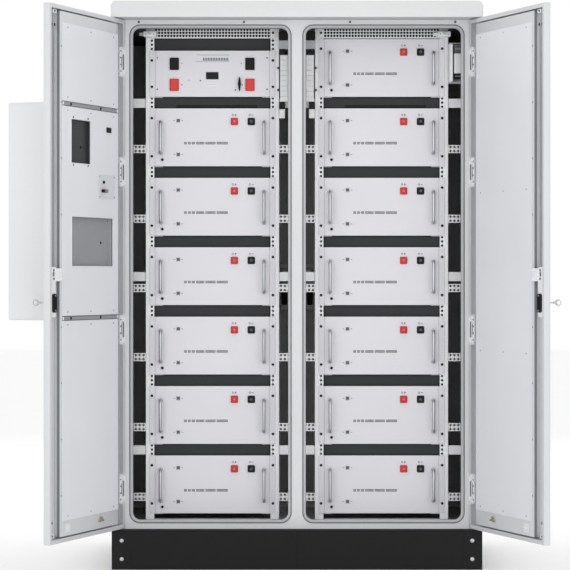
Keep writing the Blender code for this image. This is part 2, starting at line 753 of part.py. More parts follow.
def build_all():
    """Build every piece of the cabinet."""
    clear_scene()
    materials = {
        "black_paint": finish("black_paint", (0.020, 0.020, 0.022), 0.55, 0.0),
        "white_paint": finish("white_paint", (0.640, 0.650, 0.655), 0.50, 0.0),
        "light_paint": finish("light_paint", (0.580, 0.585, 0.595), 0.50, 0.0),
        "module_paint": finish("module_paint", (0.660, 0.670, 0.680), 0.45, 0.0),
        "zinc_steel": finish("zinc_steel", (0.620, 0.630, 0.640), 0.35, 0.9),
        "black_plastic": finish("black_plastic", (0.015, 0.015, 0.016), 0.50, 0.0),
        "cell_aluminium": finish("cell_aluminium", (0.450, 0.500, 0.620), 0.45, 0.6),
    }
    build_plinth(materials["black_paint"])
    build_body(materials["white_paint"])
    build_bay_frame("front_frame", materials["white_paint"], -1)
    build_bay_frame("rear_frame", materials["white_paint"], 1)
    build_roof(materials["white_paint"])
    number = 1
    for bay, centre, batteries in (("left", -RACK_X, SLOTS - 1), ("right", RACK_X, SLOTS)):
        outward = math.copysign(1.0, centre)
        for side_name, side in (("outer", outward), ("inner", -outward)):
            build_rack_side(f"rack_{bay}_{side_name}", centre, side, materials["light_paint"])
        for slot in range(batteries):
            z_low = SLOT_Z0 + slot * SLOT_PITCH
            label = f"battery_{number:02d}"
            build_rack_box(
                label + "_case", centre, z_low, CASE_H, CASE_DEPTH, materials["module_paint"]
            )
            build_cells(label + "_cells", centre, z_low, materials["cell_aluminium"])
            number += 1
        build_vent("vent_panel_" + bay, centre, materials["light_paint"])
    build_control_box(-RACK_X, materials)
    for label, side in (("left", -1), ("right", 1)):
        build_front_door(label, side, materials)
        build_rear_door(label, side, materials)


build_all()
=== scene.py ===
"""Looks of a two-bay outdoor battery cabinet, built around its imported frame.

Every sub-assembly is a class. Its sizes are dataclass fields in metres, it takes its places from
the frame, and its methods build meshes and dress them with finishes.
"""

import json
import logging
import math
from dataclasses import dataclass, field
from enum import Enum
from typing import Callable, Iterable, Sequence

import bmesh
import bpy
from mathutils import Matrix, Vector


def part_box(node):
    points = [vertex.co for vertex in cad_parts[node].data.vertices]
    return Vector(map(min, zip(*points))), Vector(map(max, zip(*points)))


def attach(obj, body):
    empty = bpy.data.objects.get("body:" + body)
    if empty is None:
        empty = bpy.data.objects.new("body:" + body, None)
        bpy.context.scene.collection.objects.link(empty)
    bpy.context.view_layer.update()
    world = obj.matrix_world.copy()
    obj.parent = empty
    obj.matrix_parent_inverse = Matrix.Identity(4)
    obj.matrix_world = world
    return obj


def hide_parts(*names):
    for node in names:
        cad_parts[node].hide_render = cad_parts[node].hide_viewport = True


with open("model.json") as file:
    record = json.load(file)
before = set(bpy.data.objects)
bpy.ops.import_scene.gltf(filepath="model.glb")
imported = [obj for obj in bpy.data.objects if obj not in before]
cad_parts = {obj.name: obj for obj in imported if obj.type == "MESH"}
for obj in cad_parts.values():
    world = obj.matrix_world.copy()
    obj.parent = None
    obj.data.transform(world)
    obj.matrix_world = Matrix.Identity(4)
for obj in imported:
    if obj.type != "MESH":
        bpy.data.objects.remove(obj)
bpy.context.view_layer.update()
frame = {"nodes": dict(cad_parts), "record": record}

Span = tuple[float, float]
Point = tuple[float, float]
LOG = logging.getLogger("cabinet")
NODES = frame["nodes"]
JOINTS = {joint["name"]: joint for joint in frame["record"]["behaviour"]["joints"]}
RACK_BOXES = [name for name in NODES if name.startswith("battery") and name.endswith("_case")]
RACK_BOXES.append("control_case")
UNIT = 0.04445                      # one rack unit
UNIT_HOLES = (0.00635, 0.022225, 0.0381)
RACK_HOLE_X = 0.4651 / 2           # hole columns of a 19-inch rack, from its middle
SMOOTH_ANGLE = math.radians(35.0)
SEAT = 0.0001                       # air between a fitting and the sheet that it sits on
MADE: dict[str, bpy.types.Material] = {}


# ---------------------------------------------------------------- finishes


class Pattern(Enum):
    """How a finish varies over its surface."""

    ORANGE_PEEL = "sprayed and baked powder"
    BRUSHED = "drawn or brushed metal"
    MOULDED = "spark-eroded mould texture"
    CELLS = "closed foam cells"
    SPANGLE = "zinc crystals"
    GLOSS = "polished or film surface"


def linear(hex_colour: str) -> tuple[float, float, float, float]:
    """Turn an sRGB hex colour into linear RGBA.

    Args:
        hex_colour: Six hex digits.

    Returns:
        Linear red, green, blue and an alpha of one.
    """
    channels = [int(hex_colour[i:i + 2], 16) / 255.0 for i in (0, 2, 4)]
    values = [c / 12.92 if c <= 0.04045 else ((c + 0.055) / 1.055) ** 2.4 for c in channels]
    return (*values, 1.0)


def add_node(
    tree: bpy.types.NodeTree,
    kind: str,
    settings: dict[str, object] | None = None,
    links: dict[str, bpy.types.NodeSocket] | None = None,
) -> bpy.types.Node:
    """Add a node with its settings and links.

    Args:
        tree: The material's node tree.
        kind: The node's type name.
        settings: Input values by socket name, or node properties by attribute name.
        links: Output sockets to link, by input name.

    Returns:
        The new node.
    """
    node = tree.nodes.new(kind)
    for name, value in (settings or {}).items():
        if name in node.inputs:
            node.inputs[name].default_value = value
        else:
            setattr(node, name, value)
    for name, source in (links or {}).items():
        tree.links.new(source, node.inputs[name])
    return node


@dataclass(frozen=True)
class Finish:
    """One real surface finish and the pattern that shows it."""

    name: str
    colour: str
    shade: str
    roughness: float
    pattern: Pattern
    grain: float
    metallic: float = 0.0
    relief: float = 0.15
    sheen_range: float = 0.06
    coat: float = 0.0
    ior: float = 1.5
    stretch: tuple[float, float, float] = (1.0, 1.0, 1.0)
    glow: float = 0.0

    def material(self) -> bpy.types.Material:
        """Return this finish's material, made once."""
        if self.name not in MADE:
            MADE[self.name] = self.build()
        return MADE[self.name]

    def build(self) -> bpy.types.Material:
        """Build the node material.

        Returns:
            A material whose colour, roughness and relief come from patterns in real sizes.
        """
        material = bpy.data.materials.new(self.name)
        material.use_nodes = True
        tree = material.node_tree
        shader = tree.nodes["Principled BSDF"]
        shader.inputs["Metallic"].default_value = self.metallic
        shader.inputs["Coat Weight"].default_value = self.coat
        if not self.metallic:
            shader.inputs["IOR"].default_value = self.ior
        if self.glow:
            shader.inputs["Emission Color"].default_value = linear(self.colour)
            shader.inputs["Emission Strength"].default_value = self.glow
        place = add_node(tree, "ShaderNodeTexCoord").outputs["Object"]
        place = add_node(
            tree, "ShaderNodeMapping", {"Scale": self.stretch}, {"Vector": place}
        ).outputs["Vector"]
        fine = self.grain_texture(tree, place)
        cloud = add_node(
            tree,
            "ShaderNodeTexNoise",
            {"Scale": 2.2, "Detail": 3.0, "Roughness": 0.55},
            {"Vector": place},
        ).outputs["Fac"]
        both = add_node(tree, "ShaderNodeMath", {"operation": "MULTIPLY_ADD"})
        both.inputs[1].default_value = 0.35
        tree.links.new(fine, both.inputs[0])
        tree.links.new(cloud, both.inputs[2])
        ramp = add_node(tree, "ShaderNodeValToRGB", {}, {"Fac": both.outputs[0]})
        ramp.color_ramp.elements[0].position = 0.38
        ramp.color_ramp.elements[0].color = linear(self.shade)
        ramp.color_ramp.elements[1].position = 0.92
        ramp.color_ramp.elements[1].color = linear(self.colour)
        tree.links.new(ramp.outputs["Color"], shader.inputs["Base Color"])
        gloss = add_node(
            tree,
            "ShaderNodeMapRange",
            {
                "From Min": 0.3,
                "From Max": 0.9,
                "To Min": max(self.roughness - self.sheen_range, 0.02),
                "To Max": min(self.roughness + self.sheen_range, 1.0),
            },
            {"Value": both.outputs[0]},
        )
        tree.links.new(gloss.outputs["Result"], shader.inputs["Roughness"])
        bump = add_node(
            tree,
            "ShaderNodeBump",
            {"Strength": self.relief, "Distance": self.grain * 0.25},
            {"Height": fine},
        )
        tree.links.new(bump.outputs["Normal"], shader.inputs["Normal"])
        return material

    def grain_texture(
        self, tree: bpy.types.NodeTree, place: bpy.types.NodeSocket
    ) -> bpy.types.NodeSocket:
        """Add the finish's fine pattern.

        Args:
            tree: The material's node tree.
            place: The coordinate output to read.

        Returns:
            The pattern's value output.
        """
        scale = 1.0 / self.grain
        if self.pattern in (Pattern.CELLS, Pattern.SPANGLE):
            kind, settings, output = "ShaderNodeTexVoronoi", {"Scale": scale}, "Distance"
        else:
            detail = 4.0 if self.pattern is Pattern.MOULDED else 2.0
            kind, settings, output = (
                "ShaderNodeTexNoise", {"Scale": scale, "Detail": detail}, "Fac"
            )
        return add_node(tree, kind, settings, {"Vector": place}).outputs[output]


MM = 0.001
# Powder coat, on the box: real orange peel is 1 to 2 mm across, drawn at 6 to 9 mm so that it
# shows. It gives the eye soft broad highlights with a faint ripple.
CABINET_COAT = Finish(
    "cabinet_orange_peel_coat", "D6D7D9", "D0D1D3", 0.46, Pattern.ORANGE_PEEL, 7 * MM, relief=0.1
)
# Doors: the box's coat painted a shade darker, as painted shade against the stronger light on the doors, so
# that a door parts from the box beside it.
DOOR_COAT = Finish(
    "door_orange_peel_coat", "D0D1D3", "CACBCD", 0.46, Pattern.ORANGE_PEEL, 7 * MM, relief=0.1
)
# Door liners and inner sheets: a drier coat that stays even in shade.
LINER_COAT = Finish(
    "liner_orange_peel_coat", "D1D3D5", "CBCDCF", 0.5, Pattern.ORANGE_PEEL, 6 * MM, relief=0.08
)
# Air conditioner covers: the palest and smoothest coat on the doors.
COOLER_COAT = Finish(
    "cooler_orange_peel_coat", "DBDCDE", "D6D7D9", 0.42, Pattern.ORANGE_PEEL, 8 * MM, relief=0.1
)
# Rack frames: nearly white, so that the posts stand out between the boxes.
RACK_COAT = Finish(
    "rack_orange_peel_coat", "EBECEE", "E5E6E8", 0.48, Pattern.ORANGE_PEEL, 6 * MM, relief=0.08
)
# Front plates of the rack boxes: pale grey with a faint violet cast.
MODULE_COAT = Finish(
    "module_orange_peel_coat", "DCDBDF", "D7D6DA", 0.44, Pattern.ORANGE_PEEL, 6 * MM, relief=0.07
)
# Black fine-texture powder on the plinth: nearly flat black with a dry surface.
PLINTH_COAT = Finish(
    "black_fine_texture_coat", "1E1E1F", "19191A", 0.62, Pattern.ORANGE_PEEL, 5 * MM, relief=0.25,
    ior=1.25,
)
# Bright zinc plate over pressed steel: pale metal with a crystal spangle.
ZINC = Finish(
    "bright_zinc_plate", "C9CCCF", "B4B8BC", 0.34, Pattern.SPANGLE, 9 * MM, 0.9, relief=0.06
)
# Satin nickel on bent bar: soft vertical brush lines.
NICKEL = Finish(
    "satin_nickel_bar", "BFC1C4", "A5A8AB", 0.3, Pattern.BRUSHED, 1.2 * MM, 0.95,
    relief=0.05, stretch=(1.0, 1.0, 0.08),
)
# Dark grey sheet behind the gaps between the rack boxes: painted shade that stands in for the dark depth of
# the gaps; plain, dry and evenly lit.
GAP_SHADE_COAT = Finish(
    "painted_gap_shade_coat", "3F4042", "393A3C", 0.6, Pattern.ORANGE_PEEL, 5 * MM, relief=0.06,
    ior=1.25,
)
# Brass studs and busbars: warm yellow metal with turning lines.
BRASS = Finish(
    "turned_brass", "C8A45C", "A98645", 0.28, Pattern.BRUSHED, 1.5 * MM, 1.0, relief=0.04
)
# Moulded nylon and ABS: spark-eroded texture that spreads highlights.
BLACK_NYLON = Finish(
    "black_moulded_nylon", "17181A", "111213", 0.48, Pattern.MOULDED, 1.5 * MM, relief=0.2, ior=1.28
)
# Red power sockets: satin plastic, the strongest colour on the object.
RED_NYLON = Finish("red_nylon", "DE3134", "C8282C", 0.42, Pattern.MOULDED, 1.5 * MM, relief=0.15)
# Grey covers and knobs: mid grey with a soft moulded texture.
GREY_ABS = Finish("grey_abs", "B9BCBF", "ABAEB2", 0.45, Pattern.MOULDED, 1.5 * MM, relief=0.12)
# White fittings: the brightest plastic, nearly smooth.
WHITE_ABS = Finish("white_abs", "ECEDEE", "E2E3E5", 0.38, Pattern.MOULDED, 1.5 * MM, relief=0.08)
# Dark grey closed-cell foam sheet on the inside of the walls: matt, with fine cells.
FOAM = Finish("closed_cell_foam", "727576", "616465", 0.92, Pattern.CELLS, 4 * MM, relief=0.35)
# Door gaskets: a dull grey line round each opening.
GASKET = Finish("foamed_gasket", "6F7375", "5E6264", 0.85, Pattern.CELLS, 2 * MM, relief=0.25)
# Display window: smoked acrylic, the glossiest piece on the object.
ACRYLIC = Finish(
    "smoked_acrylic", "16181A", "101214", 0.08, Pattern.GLOSS, 40 * MM, relief=0.01,
    sheen_range=0.02, ior=1.33,
)
# Printed marks: flat grey that takes no highlight of its own.
INK = Finish("grey_screen_ink", "5A5C60", "4C4E52", 0.55, Pattern.GLOSS, 3 * MM, relief=0.02)
# Faint printed marks: just darker than the sheet under them.
PALE_INK = Finish("pale_screen_ink", "B7BABF", "AEB1B6", 0.55, Pattern.GLOSS, 3 * MM, relief=0.02)
# Blackened screws: dark dots with a small metal glint.
DARK_METAL = Finish(
    "blackened_screw_steel", "5E6062", "4C4E50", 0.5, Pattern.BRUSHED, 3 * MM, 0.6, relief=0.05
)
# Zinc-flake screws of the cover panels: mid grey dots, a little darker than the paint.
PANEL_SCREW = Finish(
    "zinc_flake_screw", "96999B", "86898C", 0.45, Pattern.SPANGLE, 2 * MM, 0.5, relief=0.04
)
# Film round the cells: deep blue under a thin clear gloss.
CELL_FILM = Finish(
    "blue_cell_film", "3D6FA8", "33608F", 0.3, Pattern.GLOSS, 30 * MM, relief=0.03, coat=0.3
)
# Drip lips: a mid grey edge that frames each opening.
LIP_COAT = Finish(
    "lip_powder_coat", "B2B4B6", "A6A8AA", 0.42, Pattern.ORANGE_PEEL, 6 * MM, relief=0.08
)
# Dark grey strip outside each drip lip, on each liner's flank and in the hinge leaves' holes: painted
# shade, a dark matt line where these corners fall into shadow.
SHADE_LINE_COAT = Finish("painted_shade_line", "808386", "74777A", 0.8, Pattern.MOULDED, 2 * MM, relief=0.1)
# Roof sheets: the cabinet's coat painted a step darker, as painted shade that tones down the strong light
# from above.
ROOF_COAT = Finish(
    "roof_powder_coat", "D5D6D8", "CED0D2", 0.45, Pattern.ORANGE_PEEL, 7 * MM, relief=0.08
)
# Painted castings: nearly white, with the grain of a sand mould.
HINGE_CASTING = Finish(
    "painted_hinge_casting", "EDEEEF", "E4E5E6", 0.4, Pattern.MOULDED, 3 * MM, relief=0.1
)
# Contact blocks in the red sockets: a lighter red that shows the mouth's depth.
RED_CORE = Finish("red_core", "EE6A6C", "DE5659", 0.35, Pattern.MOULDED, 2 * MM, relief=0.08)
# Contact blocks in the black sockets: grey that shows against the nylon.
GREY_CORE = Finish("grey_core", "55575A", "47494C", 0.4, Pattern.MOULDED, 2 * MM, relief=0.08)
# Blank name plates: grey foil with brush lines along its length.
PLATE_GREY = Finish(
    "blank_name_plate", "C8CACE", "BEC0C4", 0.35, Pattern.BRUSHED, 2 * MM, 0.35, relief=0.03,
    stretch=(0.08, 1.0, 1.0),
)
# Panels screwed to the rear liners: paler than the sheet they cover.
LINER_PANEL = Finish(
    "liner_panel_coat", "E6E7EA", "DFE1E4", 0.48, Pattern.ORANGE_PEEL, 6 * MM, relief=0.08
)
# Service panel beside the control box: pale and softly textured.
PALE_PANEL = Finish(
    "pale_service_panel", "DADCDF", "D2D4D7", 0.45, Pattern.MOULDED, 3 * MM, relief=0.06
)
# Air duct sheet: mid grey with a large faint spangle. On the liners' cross bars the same grey is painted
# shade in the channel.
DUCT_AND_SHADE_COAT = Finish(
    "galvanised_duct_and_painted_shade", "A9ABAE", "9C9EA1", 0.48, Pattern.SPANGLE, 14 * MM, 0.4, relief=0.06
)
# Fan grilles: dark wire that reads as lines over the blades.
DARK_GRILLE = Finish(
    "black_wire_grille", "2E3032", "242628", 0.45, Pattern.ORANGE_PEEL, 3 * MM, relief=0.08
)
# Condenser fins: bright metal broken up by fine vertical lines.
CONDENSER = Finish(
    "aluminium_fin_stock", "A8ABAE", "96999C", 0.35, Pattern.BRUSHED, 2 * MM, 0.9, relief=0.05
)
# Floor under the object: plain white that takes its soft shadow.
FLOOR_PAINT = Finish(
    "pale_studio_floor", "FAFAFA", "F8F8F8", 0.75, Pattern.ORANGE_PEEL, 60 * MM, relief=0.02
)


# ---------------------------------------------------------------- outlines and meshes


@dataclass(frozen=True)
class RoundRect:
    """Rectangle in the XZ plane with round corners."""

    x: Span
    z: Span
    radius: float
    steps: int = 5

    def points(self, grow: float = 0.0) -> list[Point]:
        """Return the outline's points, moved outwards by grow.

        Args:
            grow: Distance to move outwards.

        Returns:
            Pairs of (x, z).
        """
        x_low, x_high = self.x[0] - grow, self.x[1] + grow
        z_low, z_high = self.z[0] - grow, self.z[1] + grow
        radius = max(self.radius + grow, 0.0008)
        middles = (
            (x_high - radius, z_high - radius, 0.0),
            (x_low + radius, z_high - radius, 90.0),
            (x_low + radius, z_low + radius, 180.0),
            (x_high - radius, z_low + radius, 270.0),
        )
        turns = [(x, z, math.radians(start + 90.0 * i / self.steps))
                 for x, z, start in middles for i in range(self.steps + 1)]
        return [(x + radius * math.cos(t), z + radius * math.sin(t)) for x, z, t in turns]


@dataclass(frozen=True)
class Disc:
    """Circle in the XZ plane."""

    x: float
    z: float
    radius: float
    steps: int = 20

    def points(self, grow: float = 0.0) -> list[Point]:
        """Return the circle's points, moved outwards by grow."""
        radius = self.radius + grow
        turns = [2 * math.pi * i / self.steps for i in range(self.steps)]
        return [(self.x + radius * math.cos(t), self.z + radius * math.sin(t)) for t in turns]


Outline = RoundRect | Disc


def ordered(first: float, second: float) -> Span:
    """Return two values as a low and high pair."""
    return min(first, second), max(first, second)


def about(middle: float, half: float) -> Span:
    """Return the span that reaches as far on both sides of a middle."""
    return middle - half, middle + half


def front_of(x: float, y: float, z: float) -> Matrix:
    """Return a placement whose local +Z faces the front, which is -Y."""
    return Matrix.Translation((x, y, z)) @ Matrix.Rotation(math.radians(90.0), 4, "X")


def back_of(x: float, y: float, z: float) -> Matrix:
    """Return a placement whose local +Z faces the rear, which is +Y."""
    return Matrix.Translation((x, y, z)) @ Matrix.Rotation(math.radians(-90.0), 4, "X")


@dataclass
class Solid:
    """Builds one visible piece from closed shells, each with its finish."""

    name: str
    body: str
    place: Matrix = field(default_factory=Matrix)
    mesh: bmesh.types.BMesh = field(default_factory=bmesh.new)
    finishes: list[Finish] = field(default_factory=list)
    current: int = 0
    cutters: list["Solid"] = field(default_factory=list)

    def wear(self, finish: Finish) -> "Solid":
        """Use a finish for the shells that follow, and return self.

        Args:
            finish: The finish of the next shells.

        Returns:
            This solid.
        """
        if finish not in self.finishes:
            self.finishes.append(finish)
        self.current = self.finishes.index(finish)
        return self

    def ring(self, points: Iterable[Vector], at: Matrix) -> list[bmesh.types.BMVert]:
        """Add a loop of vertices at a placement."""
        return [self.mesh.verts.new(at @ Vector(p)) for p in points]

    def face(self, verts: Sequence[bmesh.types.BMVert]) -> None:
        """Add one face in the current finish."""
        self.mesh.faces.new(verts).material_index = self.current

    def bridge(self, first: Sequence, second: Sequence) -> None:
        """Join two loops that have the same number of points."""
        for i in range(len(first)):
            k = (i + 1) % len(first)
            self.face((first[i], first[k], second[k], second[i]))

    def loft(self, loops: Sequence[Sequence], caps: bool = True) -> "Solid":
        """Join loops in their order, and close both ends if asked.

        Args:
            loops: Loops of vertices, with the same number in each.
            caps: Whether both ends are closed.

        Returns:
            This solid.
        """
        for first, second in zip(loops, loops[1:]):
            self.bridge(first, second)
        if caps:
            self.face(loops[0])
            self.face(loops[-1])
        return self

    def box(
        self, x: Span, y: Span, z: Span, bevel: float = 0.0008, at: Matrix | None = None
    ) -> "Solid":
        """Add a box with chamfered edges.

        Args:
            x: Low and high X.
            y: Low and high Y.
            z: Low and high Z.
            bevel: Width of the edge chamfer.
            at: Extra placement.

        Returns:
            This solid.
        """
        at = at if at is not None else Matrix()
        spans = [tuple(sorted(span)) for span in (x, y, z)]
        bevel = min([bevel] + [(high - low) * 0.3 for low, high in spans])
        low_y, high_y = spans[1]
        outline = RoundRect(spans[0], spans[2], bevel, 1)
        return self.plate(outline, (), (low_y, high_y), bevel, at)

    def plate(
        self,
        outline: Outline,
        holes: Sequence[Outline],
        y: Span,
        bevel: float = 0.0005,
        at: Matrix | None = None,
    ) -> "Solid":
        """Add a flat plate with holes and chamfered rims.

        Args:
            outline: The plate's edge.
            holes: Outlines of the holes through it.
            y: Low and high Y of the plate.
            bevel: Width of the chamfer on every rim.
            at: Extra placement.

        Returns:
            This solid.
        """
        at = at if at is not None else Matrix()
        bevel = min(bevel, (y[1] - y[0]) * 0.45)
        levels = ((y[0], -bevel), (y[0] + bevel, 0.0), (y[1] - bevel, 0.0), (y[1], -bevel))
        rims = []
        for shape, sign in [(outline, 1.0)] + [(hole, -1.0) for hole in holes]:
            loops = []
            for level, grow in levels:
                points = [(px, level, pz) for px, pz in shape.points(sign * grow)]
                loops.append(self.ring(points, at))
            self.loft(loops, False)
            rims.append(loops)
        for side in (0, -1):
            self.cap([loops[side] for loops in rims])
        return self

    def cap(self, loops: Sequence[Sequence[bmesh.types.BMVert]]) -> None:
        """Close one side of a plate: the first loop is its edge, the rest are holes.

        Args:
            loops: Loops of vertices, with the same number in each.
        """
        if len(loops) == 1:
            self.face(loops[0])
            return
        edges = []
        for loop in loops:
            for first, second in zip(loop, list(loop[1:]) + [loop[0]]):
                edges.append(self.mesh.edges.get((first, second)))
        filled = bmesh.ops.triangle_fill(self.mesh, use_beauty=True, edges=edges)
        for item in filled["geom"]:
            if isinstance(item, bmesh.types.BMFace):
                item.material_index = self.current

    def folded(
        self,
        outline: Outline,
        section: Sequence[Point],
        holes: Sequence[Outline] = (),
        at: Matrix | None = None,
    ) -> "Solid":
        """Sweep a sheet section round an outline and close both ends.

        Args:
            outline: The outline to follow.
            section: Pairs of (grow, y), from the outer face to the inner face.
            holes: Outlines of the holes through both end faces.
            at: Extra placement.

        Returns:
            This solid.
        """
        at = at if at is not None else Matrix()
        loops = [
            self.ring([(px, y, pz) for px, pz in outline.points(grow)], at) for grow, y in section
        ]
        self.loft(loops, False)
        ends = [[loops[0]], [loops[-1]]]
        for hole in holes:
            rims = [
                self.ring([(px, y, pz) for px, pz in hole.points()], at)
                for y in (section[0][1], section[-1][1])
            ]
            self.bridge(*rims)
            ends[0].append(rims[0])
            ends[1].append(rims[1])
        for rims in ends:
            self.cap(rims)
        return self

    def hoop(self, outline: Outline, section: Sequence[Point], at: Matrix | None = None) -> "Solid":
        """Sweep a closed section round an outline, as for a frame or a gasket.

        Args:
            outline: The outline to follow.
            section: Pairs of (grow, y) round the section.
            at: Placement.

        Returns:
            This solid.
        """
        at = at if at is not None else Matrix()
        loops = [
            self.ring([(px, y, pz) for px, pz in outline.points(grow)], at) for grow, y in section
        ]
        return self.loft([*loops, loops[0]], False)

    def turned(self, profile: Sequence[Point], at: Matrix, steps: int = 20) -> "Solid":
        """Turn a profile of (height, radius) pairs about local Z.

        Args:
            profile: Pairs of (height, radius).
            at: Placement.
            steps: Points round the axis.

        Returns:
            This solid.
        """
        loops = []
        for height, radius in profile:
            turns = [2 * math.pi * i / steps for i in range(steps)]
            points = [(radius * math.cos(t), radius * math.sin(t), height) for t in turns]
            loops.append(self.ring(points, at))
        return self.loft(loops)

    def tube(self, path: Sequence[Vector], radius: float, sides: int = 12) -> "Solid":
        """Sweep a round bar along a path.

        Args:
            path: Points along the bar's middle.
            radius: The radius.
            sides: Points round the bar.

        Returns:
            This solid.
        """
        points = [Vector(p) for p in path]
        loops = []
        across = (points[1] - points[0]).orthogonal().normalized()
        for i, point in enumerate(points):
            ahead = points[min(i + 1, len(points) - 1)] - points[max(i - 1, 0)]
            ahead.normalize()
            across = (across - ahead * across.dot(ahead)).normalized()
            other = ahead.cross(across)
            turns = [2 * math.pi * k / sides for k in range(sides)]
            ring = [point + (across * math.cos(t) + other * math.sin(t)) * radius for t in turns]
            loops.append(self.ring(ring, Matrix()))
        return self.loft(loops)

    def screw(self, at: Matrix, radius: float, steps: int = 12) -> "Solid":
        """Add a pan-head screw with its drive recess, facing local +Z.

        Args:
            at: Placement.
            radius: The radius.
            steps: Points round the axis.

        Returns:
            This solid.
        """
        high = radius * 0.5
        profile = (
            (-high * 0.3, radius),
            (high * 0.3, radius),
            (high * 0.8, radius * 0.8),
            (high, radius * 0.5),
            (high, radius * 0.38),
            (high * 0.4, radius * 0.32),
        )
        return self.turned(profile, at, steps)

    def perforated(
        self,
        columns: Sequence[float],
        rows: Sequence[float],
        centres: tuple[Sequence[float], Sequence[float]],
        radius: float,
        y: Span,
        around: int = 8,
    ) -> "Solid":
        """Add a plate made of cells with one hole each.

        Args:
            columns: X of the cells' edges.
            rows: Z of the cells' edges.
            centres: X of the holes for each column, and Z for each row.
            radius: The holes' radius.
            y: Low and high Y of the plate.
            around: Points round each hole, 8 or 16.

        Returns:
            This solid.
        """
        shared: dict[tuple[float, float, float], bmesh.types.BMVert] = {}

        def corner(px: float, py: float, pz: float) -> bmesh.types.BMVert:
            """Return the shared vertex at a point.

            Args:
                px: X.
                py: Y.
                pz: Z.

            Returns:
                The vertex.
            """
            key = (round(px, 6), round(py, 6), round(pz, 6))
            if key not in shared:
                shared[key] = self.mesh.verts.new((px, py, pz))
            return shared[key]

        per_side = around // 4
        for i, (x_low, x_high) in enumerate(zip(columns, columns[1:])):
            for k, (z_low, z_high) in enumerate(zip(rows, rows[1:])):
                edge = []
                corners = [(x_high, z_low), (x_high, z_high), (x_low, z_high), (x_low, z_low)]
                for (ax, az), (bx, bz) in zip(corners, corners[1:] + corners[:1]):
                    for step in range(per_side):
                        t = step / per_side
                        edge.append((ax + (bx - ax) * t, az + (bz - az) * t))
                start = -math.pi / 4
                hole = []
                for step in range(around):
                    turn = start + 2 * math.pi * step / around
                    hole.append((
                        centres[0][i] + radius * math.cos(turn),
                        centres[1][k] + radius * math.sin(turn),
                    ))
                inner = []
                for level in y:
                    outer_ring = [corner(px, level, pz) for px, pz in edge]
                    inner_ring = [self.mesh.verts.new((px, level, pz)) for px, pz in hole]
                    self.bridge(outer_ring, inner_ring)
                    inner.append(inner_ring)
                self.bridge(inner[0], inner[1])
        corners = {
            (x, z) for x in (columns[0], columns[-1]) for z in self.fractions(rows, per_side)
        } | {(x, z) for z in (rows[0], rows[-1]) for x in self.fractions(columns, per_side)}
        self.wall(corners, (columns[0], columns[-1]), (rows[0], rows[-1]), y, corner)
        return self

    @staticmethod
    def fractions(lines: Sequence[float], per_side: int) -> list[float]:
        """Return every shared point along a row of cell edges.

        Args:
            lines: The cell edges.
            per_side: Points along one edge.

        Returns:
            The points' places.
        """
        values = []
        for low, high in zip(lines, lines[1:]):
            values += [low + (high - low) * step / per_side for step in range(per_side)]
        return values + [lines[-1]]

    def wall(
        self,
        corners: set[Point],
        x: Span,
        z: Span,
        y: Span,
        corner: Callable[[float, float, float], bmesh.types.BMVert],
    ) -> None:
        """Close the rim of a perforated plate.

        Args:
            corners: All points on the rim.
            x: Low and high X.
            z: Low and high Z.
            y: Low and high Y.
            corner: Gives the shared vertex at a point.
        """
        sides = (
            sorted((p for p in corners if abs(p[1] - z[0]) < 1e-9), key=lambda p: p[0]),
            sorted((p for p in corners if abs(p[0] - x[1]) < 1e-9), key=lambda p: p[1]),
            sorted((p for p in corners if abs(p[1] - z[1]) < 1e-9), key=lambda p: -p[0]),
            sorted((p for p in corners if abs(p[0] - x[0]) < 1e-9), key=lambda p: -p[1]),
        )
        for side in sides:
            for first, second in zip(side, side[1:]):
                self.face((
                    corner(first[0], y[0], first[1]),
                    corner(second[0], y[0], second[1]),
                    corner(second[0], y[1], second[1]),
                    corner(first[0], y[1], first[1]),
                ))

    def cut(self, x: Span, y: Span, z: Span) -> "Solid":
        """Cut a box out of the piece when it is finished.

        Args:
            x: Low and high X.
            y: Low and high Y.
            z: Low and high Z.

        Returns:
            This solid.
        """
        cutter = Solid(self.name + "_cutter", self.body, self.place)
        cutter.wear(self.finishes[self.current]).box(x, y, z, 0.0)
        self.cutters.append(cutter)
        return self

    def to_object(self) -> bpy.types.Object:
        """Return the shells as a plain object in the scene.

        Returns:
            The new object.
        """
        bmesh.ops.transform(self.mesh, matrix=self.place, verts=self.mesh.verts)
        bmesh.ops.recalc_face_normals(self.mesh, faces=self.mesh.faces)
        data = bpy.data.meshes.new(self.name)
        self.mesh.to_mesh(data)
        self.mesh.free()
        for finish in self.finishes:
            data.materials.append(finish.material())
        piece = bpy.data.objects.new(self.name, data)
        bpy.context.scene.collection.objects.link(piece)
        return piece

    def done(self, *replaced: str, slot: str | None = None) -> bpy.types.Object:
        """Finish the piece and put it on its body.

        Args:
            *replaced: CAD nodes that the piece stands for.
            slot: The record's material slot; not used.

        Returns:
            The piece.
        """
        piece = self.to_object()
        if self.cutters:
            self.apply_cuts(piece)
        piece.data.shade_smooth()
        piece.data.set_sharp_from_angle(angle=SMOOTH_ANGLE)
        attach(piece, self.body)
        if replaced:
            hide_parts(*replaced)
        LOG.info("%s on %s: %d faces", self.name, self.body, len(piece.data.polygons))
        return piece

    def apply_cuts(self, piece: bpy.types.Object) -> None:
        """Apply the cutters with exact Booleans, and remove them.

        Args:
            piece: The object to cut.
        """
        tools = [cutter.to_object() for cutter in self.cutters]
        for tool in tools:
            change = piece.modifiers.new("cut", "BOOLEAN")
            change.operation = "DIFFERENCE"
            change.solver = "EXACT"
            change.object = tool
        bpy.context.view_layer.update()
        graph = bpy.context.evaluated_depsgraph_get()
        cut_mesh = bpy.data.meshes.new_from_object(piece.evaluated_get(graph))
        piece.modifiers.clear()
        piece.data = cut_mesh
        for tool in tools:
            bpy.data.objects.remove(tool, do_unlink=True)


# ---------------------------------------------------------------- studio


